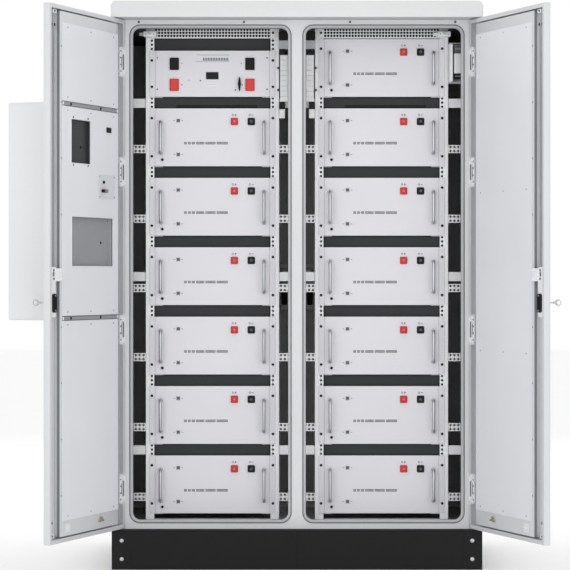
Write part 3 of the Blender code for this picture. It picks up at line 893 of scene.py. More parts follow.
@dataclass
class Studio:
    """Pale floor, soft light and the camera in front of the cabinet."""

    camera_at: tuple[float, float, float] = (0.0, -10.471, 1.102)
    lens: float = 166.74
    shift: Point = (-0.02105, -0.01228)
    floor_half: float = 30.0
    key_at: tuple[float, float, float] = (-2.4, -8.0, 1.9)
    fill_at: tuple[float, float, float] = (2.6, -8.0, 1.5)
    rear_at: tuple[float, float, float] = (0.0, 6.0, 4.2)

    def build(self) -> None:
        """Add the floor, the lights, the surroundings and the camera."""
        half = self.floor_half
        mesh = bpy.data.meshes.new("studio_floor")
        corners = [(-half, -half, 0.0), (half, -half, 0.0), (half, half, 0.0), (-half, half, 0.0)]
        mesh.from_pydata(corners, [], [(0, 1, 2, 3)])
        mesh.materials.append(FLOOR_PAINT.material())
        floor = bpy.data.objects.new("studio_floor", mesh)
        bpy.context.scene.collection.objects.link(floor)
        self.light("key_softbox", self.key_at, 72.0, (3.0, 3.0))
        self.light("fill_softbox", self.fill_at, 58.0, (3.0, 3.0))
        self.light("rear_softbox", self.rear_at, 60.0, (4.0, 3.0))
        bpy.context.scene.view_settings.view_transform = "Standard"
        world = bpy.data.worlds.new("white_room")
        bpy.context.scene.world = world
        world.use_nodes = True
        sky = world.node_tree.nodes["Background"]
        sky.inputs["Color"].default_value = (1.0, 1.0, 1.0, 1.0)
        sky.inputs["Strength"].default_value = 1.0
        data = bpy.data.cameras.new("front_camera")
        data.lens = self.lens
        data.sensor_width = 36.0
        data.shift_x, data.shift_y = self.shift
        data.clip_end = 200.0
        camera = bpy.data.objects.new("front_camera", data)
        camera.location = self.camera_at
        camera.rotation_euler = (math.radians(90.0), 0.0, 0.0)
        bpy.context.scene.collection.objects.link(camera)
        bpy.context.scene.camera = camera

    def light(self, name: str, at: tuple[float, float, float], power: float, size: Point) -> None:
        """Add one softbox that faces the middle of the cabinet.

        Args:
            name: The light's name.
            at: Its place.
            power: Its power in watts.
            size: Its width and height.
        """
        data = bpy.data.lights.new(name, "AREA")
        data.shape = "RECTANGLE"
        data.size, data.size_y = size
        data.energy = power
        lamp = bpy.data.objects.new(name, data)
        lamp.location = at
        aim = Vector((0.0, 0.0, 1.1)) - Vector(at)
        lamp.rotation_euler = aim.to_track_quat("-Z", "Y").to_euler()
        bpy.context.scene.collection.objects.link(lamp)


# ---------------------------------------------------------------- cabinet


@dataclass
class Plinth:
    """Black channel base with bolted cover strips."""

    cover_t: float = 0.0012
    margin: float = 0.004
    bolt_r: float = 0.008

    def build(self) -> None:
        """Dress the channel ring and add its covers and bolts."""
        low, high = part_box("plinth")
        NODES["plinth"].data.materials.clear()
        NODES["plinth"].data.materials.append(PLINTH_COAT.material())
        covers = Solid("plinth_covers", "cabinet").wear(PLINTH_COAT)
        z = (low.z + self.margin, high.z - self.margin)
        for face, sign in ((low.y, -1.0), (high.y, 1.0)):
            for side in (-1.0, 1.0):
                x = ordered(side * self.margin, side * (high.x - 0.075))
                y = ordered(face, face + sign * self.cover_t)
                covers.plate(RoundRect(x, z, 0.004, 3), (), y, 0.0005)
        turn = Matrix.Rotation(math.radians(90.0), 4, "Z")
        for face, sign in ((low.x, -1.0), (high.x, 1.0)):
            y = ordered(-face, -face - sign * self.cover_t)
            outline = RoundRect((low.y + 0.075, high.y - 0.075), z, 0.004, 3)
            covers.plate(outline, (), y, 0.0005, turn)
        covers.done(slot="black_powder_coat")
        bolts = Solid("plinth_bolts", "cabinet").wear(ZINC)
        for face, at in ((low.y, front_of), (high.y, back_of)):
            for x in (low.x + 0.038, high.x - 0.038):
                for z_bolt in (low.z + 0.04, high.z - 0.04):
                    bolts.screw(at(x, face, z_bolt), self.bolt_r, 16)
        bolts.done()


@dataclass
class CabinetShell:
    """Welded box of the cabinet with its side panels and its foam insulation."""

    panel_t: float = 0.0015
    panel_margin: float = 0.028
    foam_t: float = 0.02
    foam_gap: float = 0.001
    sheet: float = 0.003
    earth_z: float = 0.19

    def build(self) -> None:
        """Dress the box and add its side panels, lining and floor fittings."""
        self.low, self.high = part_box("cabinet_body")
        NODES["cabinet_body"].data.materials.clear()
        NODES["cabinet_body"].data.materials.append(CABINET_COAT.material())
        self.build_side_panels()
        self.build_lining()

    def build_side_panels(self) -> None:
        """Add the screwed panel on each outer side."""
        turn = Matrix.Rotation(math.radians(90.0), 4, "Z")
        y = (self.low.y + self.panel_margin, self.high.y - self.panel_margin)
        z = (self.low.z + self.panel_margin, self.high.z - self.panel_margin)
        for name, face, sign in (("left", self.low.x, -1.0), ("right", self.high.x, 1.0)):
            panel = Solid(f"side_panel_{name}", "cabinet").wear(CABINET_COAT)
            depth = ordered(-face, -face - sign * self.panel_t)
            panel.plate(RoundRect(y, z, 0.006), (), depth, 0.0007, turn)
            panel.wear(ZINC)
            outwards = Matrix.Rotation(sign * math.radians(90.0), 4, "Y")
            for row in range(7):
                level = z[0] + 0.018 + row * (z[1] - z[0] - 0.036) / 6
                for depth_y in (y[0] + 0.016, y[1] - 0.016):
                    at = Matrix.Translation((face + sign * self.panel_t, depth_y, level))
                    panel.screw(at @ outwards, 0.0045)
            at = Matrix.Translation((face + sign * self.panel_t, self.high.y - 0.09, self.earth_z))
            profile = ((-0.001, 0.011), (0.001, 0.011), (0.0012, 0.006), (0.008, 0.006), (0.0085, 0.005))
            panel.wear(BRASS).turned(profile, at @ outwards, 18)
            panel.done(slot="cabinet_powder_coat")

    def build_lining(self) -> None:
        """Line the inside with foam sheet."""
        wall = self.high.x - self.sheet - self.foam_gap
        y = (self.low.y + 0.03, self.high.y - 0.03)
        z = (self.low.z + self.sheet + 0.001, self.high.z - self.sheet - 0.001)
        lining = Solid("foam_lining", "cabinet").wear(FOAM)
        for side in (-1.0, 1.0):
            for step in range(4):
                height = (z[1] - z[0]) / 4
                level = (z[0] + step * height + 0.001, z[0] + (step + 1) * height - 0.001)
                x = ordered(side * wall, side * (wall - self.foam_t))
                lining.box(x, y, level, 0.004)
        inner = wall - self.foam_t - 0.001
        lining.box((-inner, -0.001), y, (z[1] - self.foam_t, z[1]), 0.004)
        lining.box((0.001, inner), y, (z[1] - self.foam_t, z[1]), 0.004)
        lining.done()
        floor = Solid("floor_gland_plates", "cabinet").wear(CABINET_COAT)
        for side in (-1.0, 1.0):
            x = ordered(side * 0.12, side * 0.56)
            floor.box(x, (self.low.y + 0.03, self.low.y + 0.095), (z[0], z[0] + 0.002), 0.0006)
            floor.wear(ZINC)
            for gap in (0.135, 0.545):
                floor.screw(Matrix.Translation((side * gap, self.low.y + 0.062, z[0] + 0.002)), 0.004)
            floor.wear(CABINET_COAT)
        floor.done()


@dataclass
class BayFrame:
    """Face frame with two round-cornered windows, drip lips and hinge leaves."""

    node: str
    direction: float
    bay_x: float = 0.328
    window_w: float = 0.589
    window_z: Span = (0.185, 2.05)
    radius: float = 0.028
    sheet: float = 0.003
    lip: float = 0.0095
    lip_out: float = 0.008
    lip_in: float = 0.02
    shade_bead_width: float = 0.0038
    face: float = 0.46
    hinge_z: tuple[float, ...] = (0.304, 0.907, 1.503, 1.92)

    def windows(self) -> list[RoundRect]:
        """Return the outlines of the two windows.

        Returns:
            One outline for each bay.
        """
        half = self.window_w / 2
        return [
            RoundRect(about(x, half), self.window_z, self.radius, 10)
            for x in (-self.bay_x, self.bay_x)
        ]

    def build(self) -> None:
        """Build the frame sheet, its lips and its hinge leaves."""
        low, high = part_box(self.node)
        sign = self.direction
        sheet = Solid(self.node + "_sheet", "cabinet").wear(CABINET_COAT)
        depth = ordered(sign * self.face, sign * (self.face - self.sheet))
        edge = RoundRect((low.x, high.x), (low.z, high.z), 0.003, 3)
        holes = [RoundRect(w.x, w.z, w.radius, 10) for w in self.windows()]
        sheet.plate(edge, holes, depth, 0.0008)
        sheet.done(self.node, slot="cabinet_powder_coat")
        for label, window in zip(("left", "right"), self.windows()):
            self.build_lip(label, window)
        self.build_hinges()
        if sign < 0:
            self.build_screws()

    def build_lip(self, label: str, window: RoundRect) -> None:
        """Add the drip lip round one window, with the tube that turns inwards.

        Args:
            label: The bay's or battery's label.
            window: The window's outline.
        """
        sign = self.direction
        out = sign * (self.face + self.lip_out)
        face = sign * (self.face - 0.001)
        inside = sign * (self.face - self.sheet - self.lip_in)
        turn = 0.0022
        section = (
            (self.lip, face),
            (self.lip, out - sign * turn),
            (self.lip - turn * 0.3, out - sign * turn * 0.3),
            (self.lip - turn, out),
            (turn, out),
            (turn * 0.3, out - sign * turn * 0.3),
            (0.0, out - sign * turn),
            (0.0, inside),
            (self.sheet * 0.9, inside),
            (self.sheet * 0.9, face),
        )
        name = f"{self.node}_lip_{label}"
        lip = Solid(name, "cabinet").wear(LIP_COAT).hoop(window, section)
        # A dark grey bead in the corner outside the lip: painted shade of the lip's outer side.
        near, far = self.lip + 0.0003, self.lip + self.shade_bead_width
        shade_strip = (
            (near, face),
            (near, face + sign * 0.004),
            (near + 0.001, face + sign * 0.0048),
            (far - 0.001, face + sign * 0.0036),
            (far, face + sign * 0.002),
            (far, face),
        )
        lip.wear(SHADE_LINE_COAT).hoop(window, shade_strip)
        lip.done(slot="cabinet_powder_coat")

    def build_hinges(self) -> None:
        """Add the fixed leaf, the lugs and the pin of each hinge."""
        sign = self.direction
        leaves = Solid(self.node + "_hinge_leaves", "cabinet").wear(HINGE_CASTING)
        pin_x, pin_y = (abs(v) for v in JOINTS["door_left_hinge"]["pos_m"][:2])
        face = sign * self.face
        for side in (-1.0, 1.0):
            for z in self.hinge_z:
                x = ordered(side * (pin_x + 0.006), side * (pin_x - 0.021))
                leaf = RoundRect(x, about(z, 0.055), 0.012, 1)
                hole = RoundRect((x[0] + 0.0045, x[1] - 0.0045), about(z, 0.03), 0.003, 3)
                leaves.wear(HINGE_CASTING)
                leaves.plate(leaf, (hole,), ordered(face, face + sign * 0.003), 0.0006)
                # A dark grey plate in the leaf's hole: painted shade that makes the hole read as a recess.
                leaves.wear(SHADE_LINE_COAT)
                leaves.plate(hole, (), ordered(face, face + sign * 0.001), 0.0002)
                leaves.wear(HINGE_CASTING)
                for end in (-1.0, 1.0):
                    level = ordered(z + end * 0.0205, z + end * 0.0545)
                    lug = ordered(face, sign * (pin_y - 0.001))
                    arm = ordered(side * (pin_x - 0.0005), side * (pin_x - 0.0075))
                    leaves.box(arm, lug, level, 0.001)
                    at = Matrix.Translation((side * pin_x, sign * pin_y, level[0]))
                    height = level[1] - level[0]
                    barrel = ((0.0, 0.0055), (0.001, 0.0065), (height - 0.001, 0.0065), (height, 0.0055))
                    leaves.turned(barrel, at, 18)
                outwards = front_of if sign < 0 else back_of
                for bolt in (-0.04, 0.04):
                    place = outwards(side * (pin_x - 0.0145), face + sign * 0.003, z + bolt)
                    leaves.screw(place, 0.0034)
        leaves.done()

    def build_screws(self) -> None:
        """Add the header screws of the front frame."""
        screws = Solid(self.node + "_screws", "cabinet").wear(DARK_METAL)
        for side in (-1.0, 1.0):
            for x in (0.201, 0.6):
                screws.screw(front_of(side * x, -self.face, 2.073), 0.0046)
        screws.done()


@dataclass
class RoofCanopy:
    """Canopy with a deep fascia, a folded top edge and a fall to the rear."""

    fascia: float = 0.045
    fold: float = 0.01
    sheet: float = 0.002
    corner: float = 0.006
    soffit: float = 0.092

    def build(self) -> None:
        """Build the canopy and its drip edge."""
        low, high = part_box("roof_canopy")
        roof = Solid("roof_canopy_skin", "cabinet").wear(ROOF_COAT)
        lay = Matrix.Rotation(math.radians(-90.0), 4, "X")
        outline = RoundRect((low.x, high.x), (low.y, high.y), self.corner, 4)
        top, knee = -high.z, -(low.z + self.fascia)
        section = (
            (0.0, -low.z),
            (0.0, knee),
            (-self.fold, top + 0.0015),
            (-self.fold - 0.004, top),
            (-self.fold - 0.3, top),
        )
        roof.folded(outline, section, (), lay)
        piece = roof.mesh
        for vert in piece.verts:
            if vert.co.z > low.z + self.fascia + 0.001:
                reach = (vert.co.y - low.y) / (high.y - low.y)
                vert.co.z -= 0.016 * reach
        roof.cut((low.x + self.sheet, high.x - self.sheet),
                 (low.y + self.sheet, high.y - self.sheet),
                 (low.z - 0.01, low.z + self.fascia - 0.004))
        roof.done("roof_canopy", slot="cabinet_powder_coat")
        flange = Solid("roof_drip_edge", "cabinet").wear(ROOF_COAT)
        rim = RoundRect((low.x + 0.003, high.x - 0.003), (low.y + 0.003, high.y - 0.003), 0.004, 4)
        under = -low.z - 0.0005
        inner = -self.soffit
        section = ((0.0, under), (0.0, under - 0.0015), (inner, under - 0.0015), (inner, under))
        flange.hoop(rim, section, lay)
        flange.done(slot="cabinet_powder_coat")


# ---------------------------------------------------------------- racks


@dataclass
class Rack:
    """One 19-inch rack: four punched posts, side sheets, shelves, vent strip and door switch."""

    label: str
    outward: float
    flange: float = 0.032
    sheet: float = 0.002
    hole_r: float = 0.0047
    slots: int = 7
    pitch: float = 6 * UNIT
    base: float = 0.198
    vent_columns: int = 38
    vent_r: float = 0.0051
    shade_sheet_in: float = 0.018

    def build(self) -> None:
        """Build both sides of the rack, its cross bars, its vent strip and its switch."""
        self.low, self.high = self.limits()
        self.middle = (self.low.x + self.high.x) / 2
        for name, side in (("outer", self.outward), ("inner", -self.outward)):
            self.build_side(name, side)
        self.build_gap_shade_sheets()
        self.build_cross_bars()
        self.build_vent()
        self.build_switch()

    def limits(self) -> tuple[Vector, Vector]:
        """Return the box round both sides of the rack.

        Returns:
            The low and the high corner.
        """
        boxes = [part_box(f"rack_{self.label}_{side}") for side in ("outer", "inner")]
        low = Vector([min(pair[0][i] for pair in boxes) for i in range(3)])
        high = Vector([max(pair[1][i] for pair in boxes) for i in range(3)])
        return low, high

    def hole_levels(self) -> list[float]:
        """Return the height of every mounting hole, three to a unit.

        Returns:
            The holes' Z values.
        """
        start = self.base - UNIT * round((self.base - self.low.z) / UNIT)
        levels = []
        for unit in range(int((self.high.z - start) / UNIT) + 1):
            for offset in UNIT_HOLES:
                level = start + unit * UNIT + offset
                if self.low.z + 0.008 < level < self.high.z - 0.008:
                    levels.append(level)
        return levels

    def build_side(self, name: str, side: float) -> None:
        """Add two punched posts, a side sheet with cut-outs, and the shelf rails.

        Args:
            name: The side's name.
            side: The side's sign along X.
        """
        levels = self.hole_levels()
        cuts = [(a + b) / 2 for a, b in zip(levels, levels[1:])]
        rows = [self.low.z, *cuts, self.high.z]
        half = self.high.x - self.middle
        columns = ordered(self.middle + side * half, self.middle + side * (half - self.flange))
        hole_x = [self.middle + side * RACK_HOLE_X]
        rack = Solid(f"rack_{self.label}_{name}_posts", "cabinet").wear(RACK_COAT)
        for y in ((self.low.y, self.low.y + self.sheet), (self.high.y - self.sheet, self.high.y)):
            rack.perforated(columns, rows, (hole_x, levels), self.hole_r, y, 16)
        rack.done(f"rack_{self.label}_{name}", slot="rack_powder_coat")
        frame_side = Solid(f"rack_{self.label}_{name}_shelves", "cabinet").wear(RACK_COAT)
        turn = Matrix.Translation((self.middle + side * (half - self.sheet / 2), 0.0, 0.0))
        turn = turn @ Matrix.Rotation(math.radians(90.0), 4, "Z")
        depth = (self.low.y + self.sheet, self.high.y - self.sheet)
        holes = []
        for slot in range(self.slots):
            z = self.base + slot * self.pitch
            holes.append(RoundRect((depth[0] + 0.06, -0.03), (z + 0.045, z + 0.225), 0.012, 4))
            holes.append(RoundRect((0.03, depth[1] - 0.06), (z + 0.045, z + 0.225), 0.012, 4))
        edge = RoundRect(depth, (self.low.z, self.high.z), 0.002, 2)
        frame_side.plate(edge, holes, (-self.sheet / 2, self.sheet / 2), 0.0004, turn)
        for slot in range(self.slots):
            top = self.base + slot * self.pitch - 0.0005
            x = ordered(self.middle + side * (half - self.sheet), self.middle + side * 0.1905)
            frame_side.box(x, depth, (top - self.sheet, top), 0.0004)
            rib = ordered(self.middle + side * 0.2235, self.middle + side * 0.2255)
            frame_side.box(rib, depth, (top, top + 0.03), 0.0004)
        frame_side.done(slot="rack_powder_coat")

    def build_gap_shade_sheets(self) -> None:
        """Close each gap between the rack boxes with a dark sheet set back from the faces: painted shade
        for the dark depth of the gap.
        """
        shade_sheets = Solid(f"rack_{self.label}_baffles", "cabinet").wear(GAP_SHADE_COAT)
        boxes = sorted(
            (low.z, high.z) for low, high in (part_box(name) for name in RACK_BOXES)
            if self.low.x < (low.x + high.x) / 2 < self.high.x
        )
        vent_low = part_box(f"vent_panel_{self.label}")[0].z
        control_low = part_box("control_case")[0].z
        below_control = max((high for _, high in boxes if high < control_low), default=0.0)
        inner = (self.low.x + self.flange - 0.001, self.high.x - self.flange + 0.001)
        y = self.low.y + self.sheet + 0.0005
        for top, bottom in zip((high for _, high in boxes), [low for low, _ in boxes[1:]] + [vent_low]):
            level = (top + 0.0006, bottom - 0.0006)
            shade_sheets.wear(GAP_SHADE_COAT)
            shade_sheets.box(inner, (y + self.shade_sheet_in, y + self.shade_sheet_in + 0.0012), level, 0.0003)
            for rise in (level[0], level[1] - 0.001):
                flange = (rise, rise + 0.001)
                shade_sheets.box(inner, (y + 0.003, y + self.shade_sheet_in - 0.0002), flange, 0.0003)
            # Under the control box a black block stands in front of the sheet: painted shade for the
            # deepest part of that gap.
            if abs(top - below_control) < self.sheet:
                width = inner[1] - inner[0]
                slot = (inner[0] + 0.19 * width, inner[0] + 0.88 * width)
                rise = level[0] + 0.0012
                shade_block_y = (y + self.shade_sheet_in - 0.0022, y + self.shade_sheet_in - 0.0003)
                shade_sheets.wear(BLACK_NYLON).box(slot, shade_block_y, (rise, rise + 0.0125), 0.0004)
        shade_sheets.done()

    def build_cross_bars(self) -> None:
        """Add the channel under the rack and the bar over it, front and rear."""
        bars = Solid(f"rack_{self.label}_cross_bars", "cabinet").wear(RACK_COAT)
        x = (self.low.x, self.high.x)
        for y in ((self.low.y, self.low.y + 0.04), (self.high.y - 0.04, self.high.y)):
            bars.box(x, y, (self.low.z - 0.0215, self.low.z - 0.0005), 0.001)
        inner = (self.low.x + self.flange, self.high.x - self.flange)
        bars.box(inner, (self.low.y + 0.02, self.low.y + 0.05), (self.high.z - 0.003, self.high.z), 0.001)
        bars.box(inner, (self.high.y - 0.05, self.high.y - 0.02), (self.high.z - 0.003, self.high.z), 0.001)
        for share in (0.1, 0.36, 0.64, 0.9):
            tab = self.low.x + share * (self.high.x - self.low.x)
            bars.box(about(tab, 0.017), (self.low.y - 0.052, self.low.y), (0.155, 0.16), 0.001)
        bars.wear(ZINC)
        for share in (0.1, 0.36, 0.64, 0.9):
            tab = self.low.x + share * (self.high.x - self.low.x)
            bars.screw(Matrix.Translation((tab, self.low.y - 0.03, 0.16)), 0.006)
        bars.done(slot="rack_powder_coat")

    def build_vent(self) -> None:
        """Add the punched strip over the top unit."""
        low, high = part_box(f"vent_panel_{self.label}")
        edge = 0.019
        pitch = (high.x - low.x - 2 * edge) / self.vent_columns
        inner = [low.x + edge + pitch * i for i in range(self.vent_columns + 1)]
        strip = Solid(f"vent_strip_{self.label}", "cabinet").wear(RACK_COAT)
        rows = [low.z + (high.z - low.z) * (0.06 + 0.88 * i / 3) for i in range(4)]
        face = (low.y, low.y + self.sheet)
        across = [(a + b) / 2 for a, b in zip(inner, inner[1:])]
        up = [(a + b) / 2 for a, b in zip(rows, rows[1:])]
        strip.perforated(inner, rows, (across, up), self.vent_r, face, 8)
        strip.box((low.x, inner[0]), face, (low.z, high.z), 0.0004)
        strip.box((inner[-1], high.x), face, (low.z, high.z), 0.0004)
        strip.box((inner[0], inner[-1]), face, (low.z - 0.0012, rows[0]), 0.0002)
        strip.box((inner[0], inner[-1]), face, (rows[-1], high.z), 0.0002)
        strip.box((inner[0], inner[-1]), (face[1], face[1] + 0.013), (high.z - 0.002, high.z), 0.0004)
        # A black sheet just behind the holes: painted shade, so that the holes read as the dark inside of
        # the rack.
        strip.wear(BLACK_NYLON)
        strip.box((inner[0], inner[-1]), (face[1] + 0.004, face[1] + 0.005), (rows[0], rows[-1]), 0.0002)
        for x in (low.x + 0.0085, high.x - 0.0085):
            strip.screw(front_of(x, low.y, (low.z + high.z) / 2), 0.0048)
        strip.done(f"vent_panel_{self.label}", slot="rack_powder_coat")

    def build_switch(self) -> None:
        """Add the door switch at the window's top outer or inner corner."""
        switch = Solid(f"door_switch_{self.label}", "cabinet").wear(WHITE_ABS)
        left = self.label == "left"
        post = self.low.x if left else self.high.x
        x, z = (post - 0.0085 if left else post - 0.0415), self.high.z - 0.0295
        y = self.low.y - 0.034
        switch.box((x, x + 0.05), (y, self.low.y - 0.004), (z - 0.01, z + 0.011), 0.002)
        plunger = (x - 0.016, x)
        switch.wear(GREY_ABS if left else WHITE_ABS)
        switch.box(plunger, (y + 0.006, y + 0.02), about(z, 0.006), 0.001)
        switch.wear(DARK_METAL)
        for gap in (0.01, 0.04):
            switch.screw(front_of(x + gap, y, z), 0.0022, 10)
        profile = ((0.0, 0.004), (0.01, 0.004), (0.014, 0.003), (0.016, 0.0015))
        switch.wear(WHITE_ABS).turned(profile, front_of(x + 0.025, y, z + 0.001), 14)
        switch.done()


# ---------------------------------------------------------------- rack boxes


@dataclass
class RackBox:
    """Shared build of a rack-mounted steel box: face, ears, folded case and rear wall."""

    node: str
    case_w: float = 0.442
    face_w: float = 0.439
    panel_t: float = 0.003
    sheet: float = 0.002
    ear_gap: float = 0.0009
    ear_screws: tuple[float, ...] = (0.0373, 0.1838)
    ear_screw_r: float = 0.0052
    origin: float = 0.218

    def locate(self) -> None:
        """Take the box's place from its CAD node."""
        low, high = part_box(self.node)
        self.middle = (low.x + high.x) / 2
        self.left = self.middle - self.origin
        self.x = (low.x, high.x)
        self.z = (low.z, high.z)
        self.face = low.y
        self.front = low.y + self.panel_t
        self.rear = high.y

    def at(self, across: float, down: float) -> Point:
        """Return X and Z of a point measured from the face's top left corner."""
        return self.left + across, self.z[1] - down

    def proud(self, height: float) -> Span:
        """Return the Y span of a fitting that stands out from the face by a height."""
        return self.face - height, self.face - SEAT

    def build_case(self, name: str) -> None:
        """Build the face, the ears with their slots, and the folded case.

        Args:
            name: The piece's name.
        """
        case = Solid(name, "cabinet").wear(MODULE_COAT)
        half = self.face_w / 2
        face = (self.face, self.front)
        case.plate(RoundRect(about(self.middle, half), self.z, 0.0012, 2), (), face, 0.0007)
        for side in (-1.0, 1.0):
            x = ordered(
                self.middle + side * (half + self.ear_gap), self.middle + side * (self.x[1] - self.middle)
            )
            slots = []
            for down in self.ear_screws:
                hole = self.middle + side * RACK_HOLE_X
                level = self.z[1] - down
                slots.append(RoundRect(about(hole, 0.005), about(level, 0.0033), 0.0032, 4))
            case.plate(RoundRect(x, self.z, 0.0012, 2), slots, face, 0.0006)
        edge = self.case_w / 2
        x = about(self.middle, edge)
        depth = (self.front, self.rear)
        case.box(x, depth, (self.z[0], self.z[0] + self.sheet), 0.0006)
        for side in (-1.0, 1.0):
            wall = ordered(self.middle + side * edge, self.middle + side * (edge - self.sheet))
            case.box(wall, depth, (self.z[0] + self.sheet, self.z[1] - self.sheet), 0.0002)
        case.box(x, depth, (self.z[1] - self.sheet, self.z[1]), 0.0006)
        slots = []
        for column in range(9):
            gap = self.middle + (column - 4) * 0.04
            slots.append(RoundRect(about(gap, 0.014), (self.z[0] + 0.03, self.z[0] + 0.036), 0.0028, 3))
            slots.append(RoundRect(about(gap, 0.014), (self.z[1] - 0.036, self.z[1] - 0.03), 0.0028, 3))
        wall = RoundRect(
            (x[0] + self.sheet, x[1] - self.sheet), (self.z[0] + self.sheet, self.z[1] - self.sheet), 0.002,
            2,
        )
        case.plate(wall, slots, (self.rear - self.sheet, self.rear), 0.0004)
        case.done(self.node, slot="module_powder_coat")

    def build_ear_screws(self, name: str) -> None:
        """Add the black rack screws in the ears' slots.

        Args:
            name: The piece's name.
        """
        screws = Solid(name, "cabinet").wear(BLACK_NYLON)
        for side in (-1.0, 1.0):
            for down in self.ear_screws:
                x, z = self.middle + side * RACK_HOLE_X, self.z[1] - down
                screws.screw(front_of(x, self.face, z), self.ear_screw_r, 14)
        screws.done()


@dataclass
class BatteryModule(RackBox):
    """Five-unit rack battery with bow handles, two power sockets and two data ports."""

    handle_u: Span = (0.0195, 0.4165)
    handle_v: Span = (0.053, 0.1735)
    handle_reach: float = 0.04
    handle_r: float = 0.0057
    bend: float = 0.012
    socket_v: float = 0.0505
    socket_u: Span = (0.3025, 0.3675)
    socket_half: float = 0.0142
    port_u: float = 0.087
    port_v: Span = (0.047, 0.177)
    stud: Point = (0.0257, 0.197)
    mark_u: Span = (0.1095, 0.2785)
    mark_v: float = 0.1335
    mark_groups: tuple[tuple[float, float, int], ...] = (
        (0.000, 0.068, 3), (0.088, 0.156, 3), (0.175, 0.253, 3), (0.273, 0.468, 7),
        (0.487, 0.721, 9), (0.741, 1.000, 10),
    )

    def build(self, label: str) -> None:
        """Build every piece of one battery.

        Args:
            label: The bay's or battery's label.
        """
        self.locate()
        self.build_case(label + "_shell")
        self.build_handles(label + "_handles")
        self.build_sockets(label + "_power_sockets")
        self.build_ports(label + "_ports")
        self.build_marking(label + "_marking")
        self.build_ear_screws(label + "_rack_screws")
        cells = NODES[label + "_cells"].data.materials
        cells.clear()
        cells.append(CELL_FILM.material())

    def build_handles(self, name: str) -> None:
        """Bend the two bow handles and set them on washers.

        Args:
            name: The piece's name.
        """
        bows = Solid(name, "cabinet")
        out = self.face - self.handle_reach
        for across in self.handle_u:
            x = self.left + across
            top, bottom = (self.z[1] - down for down in self.handle_v)
            path = [Vector((x, self.face, top)), Vector((x, out + self.bend, top))]
            for step in range(1, 6):
                turn = math.radians(90.0 * step / 5)
                path.append(Vector((
                    x,
                    out + self.bend * (1 - math.sin(turn)),
                    top - self.bend * (1 - math.cos(turn)),
                )))
            for point in reversed(path):
                path_z = bottom + (top - point.z)
                path.append(Vector((x, point.y, path_z)))
            bows.wear(NICKEL).tube(path, self.handle_r)
            for level in (top, bottom):
                washer = ((0.0, 0.0085), (0.001, 0.0085), (0.0016, 0.0078), (0.0016, 0.005))
                bows.wear(NICKEL).turned(washer, front_of(x, self.face, level), 20)
        bows.done()

    def build_sockets(self, name: str) -> None:
        """Add the red and the black power socket with their polarity marks.

        Args:
            name: The piece's name.
        """
        sockets = Solid(name, "cabinet")
        half = self.socket_half
        for across, finish, inner in (
            (self.socket_u[0], RED_NYLON, RED_CORE), (self.socket_u[1], BLACK_NYLON, GREY_CORE)
        ):
            x, z = self.at(across, self.socket_v)
            sockets.wear(finish)
            base = RoundRect(about(x, half), about(z, half), 0.0045, 5)
            sockets.plate(base, (), self.proud(0.0045), 0.0012)
            ring = ((0.0, 0.0108), (0.01, 0.0106), (0.0115, 0.0098), (0.0115, 0.008), (0.004, 0.0078))
            sockets.turned(ring, front_of(x, self.face - 0.0045, z), 28)
            sockets.wear(inner)
            pin = ((0.0, 0.0062), (0.0115, 0.006), (0.0135, 0.0044))
            sockets.turned(pin, front_of(x, self.face - 0.0045, z), 20)
            sockets.wear(DARK_METAL)
            for dx in (-1.0, 1.0):
                for dz in (-1.0, 1.0):
                    place = front_of(x + dx * 0.0103, self.face - 0.0045, z + dz * 0.0103)
                    sockets.screw(place, 0.0015, 8)
            sockets.wear(INK)
            y = self.proud(0.0004)
            mark_x, mark_z = self.at(across + 0.0045, 0.025)
            sockets.box(about(mark_x, 0.0042), y, about(mark_z, 0.0011), 0.0001)
            if finish is RED_NYLON:
                sockets.box(about(mark_x, 0.0011), y, about(mark_z, 0.0042), 0.0001)
            dot = Disc(mark_x - 0.0105, mark_z, 0.0038, 14)
            sockets.plate(dot, (Disc(mark_x - 0.0105, mark_z, 0.0022, 14),), y, 0.0001)
        sockets.done()

    def build_ports(self, name: str) -> None:
        """Add the data ports between their printed dashes, and the earth stud.

        Args:
            name: The piece's name.
        """
        ports = Solid(name, "cabinet")
        y = self.proud(0.0005)
        for down in self.port_v:
            x, z = self.at(self.port_u, down)
            shell = RoundRect(about(x, 0.0078), about(z, 0.008), 0.001, 2)
            mouth = RoundRect(about(x, 0.0056), (z - 0.0052, z + 0.0056), 0.0006, 2)
            ports.wear(GREY_ABS).plate(shell, (mouth,), self.proud(0.0016), 0.0004)
            ports.wear(GREY_CORE).plate(mouth, (), self.proud(0.0009), 0.0002)
            ports.wear(DARK_METAL)
            for pin in range(5):
                pin_x = x - 0.0034 + pin * 0.0017
                edge = about(pin_x, 0.0003)
                ports.box(edge, (self.face - 0.0013, self.face - 0.0009), (z + 0.001, z + 0.0036), 0.0001)
            ports.wear(INK)
            for side in (-1.0, 1.0):
                middle = x + side * 0.0155
                ports.box(about(middle, 0.0032), y, about(z, 0.001), 0.0001)
        x, z = self.at(*self.stud)
        nut = ((0.0, 0.0058), (0.004, 0.0058), (0.0045, 0.005))
        ports.wear(BLACK_NYLON).turned(nut, front_of(x, self.face, z), 6)
        tip = ((0.0, 0.003), (0.0085, 0.003), (0.0095, 0.0022))
        ports.turned(tip, front_of(x, self.face, z), 14)
        ports.done()

    def build_marking(self, name: str) -> None:
        """Print a plain row of dashes where the type marking goes.

        Args:
            name: The piece's name.
        """
        marks = Solid(name, "cabinet").wear(INK)
        x, z = self.at(self.mark_u[0], self.mark_v)
        end = self.left + self.mark_u[1]
        length = end - x
        y = self.proud(0.0004)
        for low, high, bars in self.mark_groups:
            pitch = (high - low) * length / bars
            for bar in range(bars):
                start = x + low * length + bar * pitch
                marks.box((start, start + pitch * 0.62), y, about(z, 0.0046), 0.0001)
            rail = (x + low * length, x + high * length - pitch * 0.38)
            for level in (z - 0.0046, z + 0.0034):
                marks.box(rail, (y[0] - 0.0002, y[1] - 0.0002), (level, level + 0.0012), 0.0001)
        marks.done()


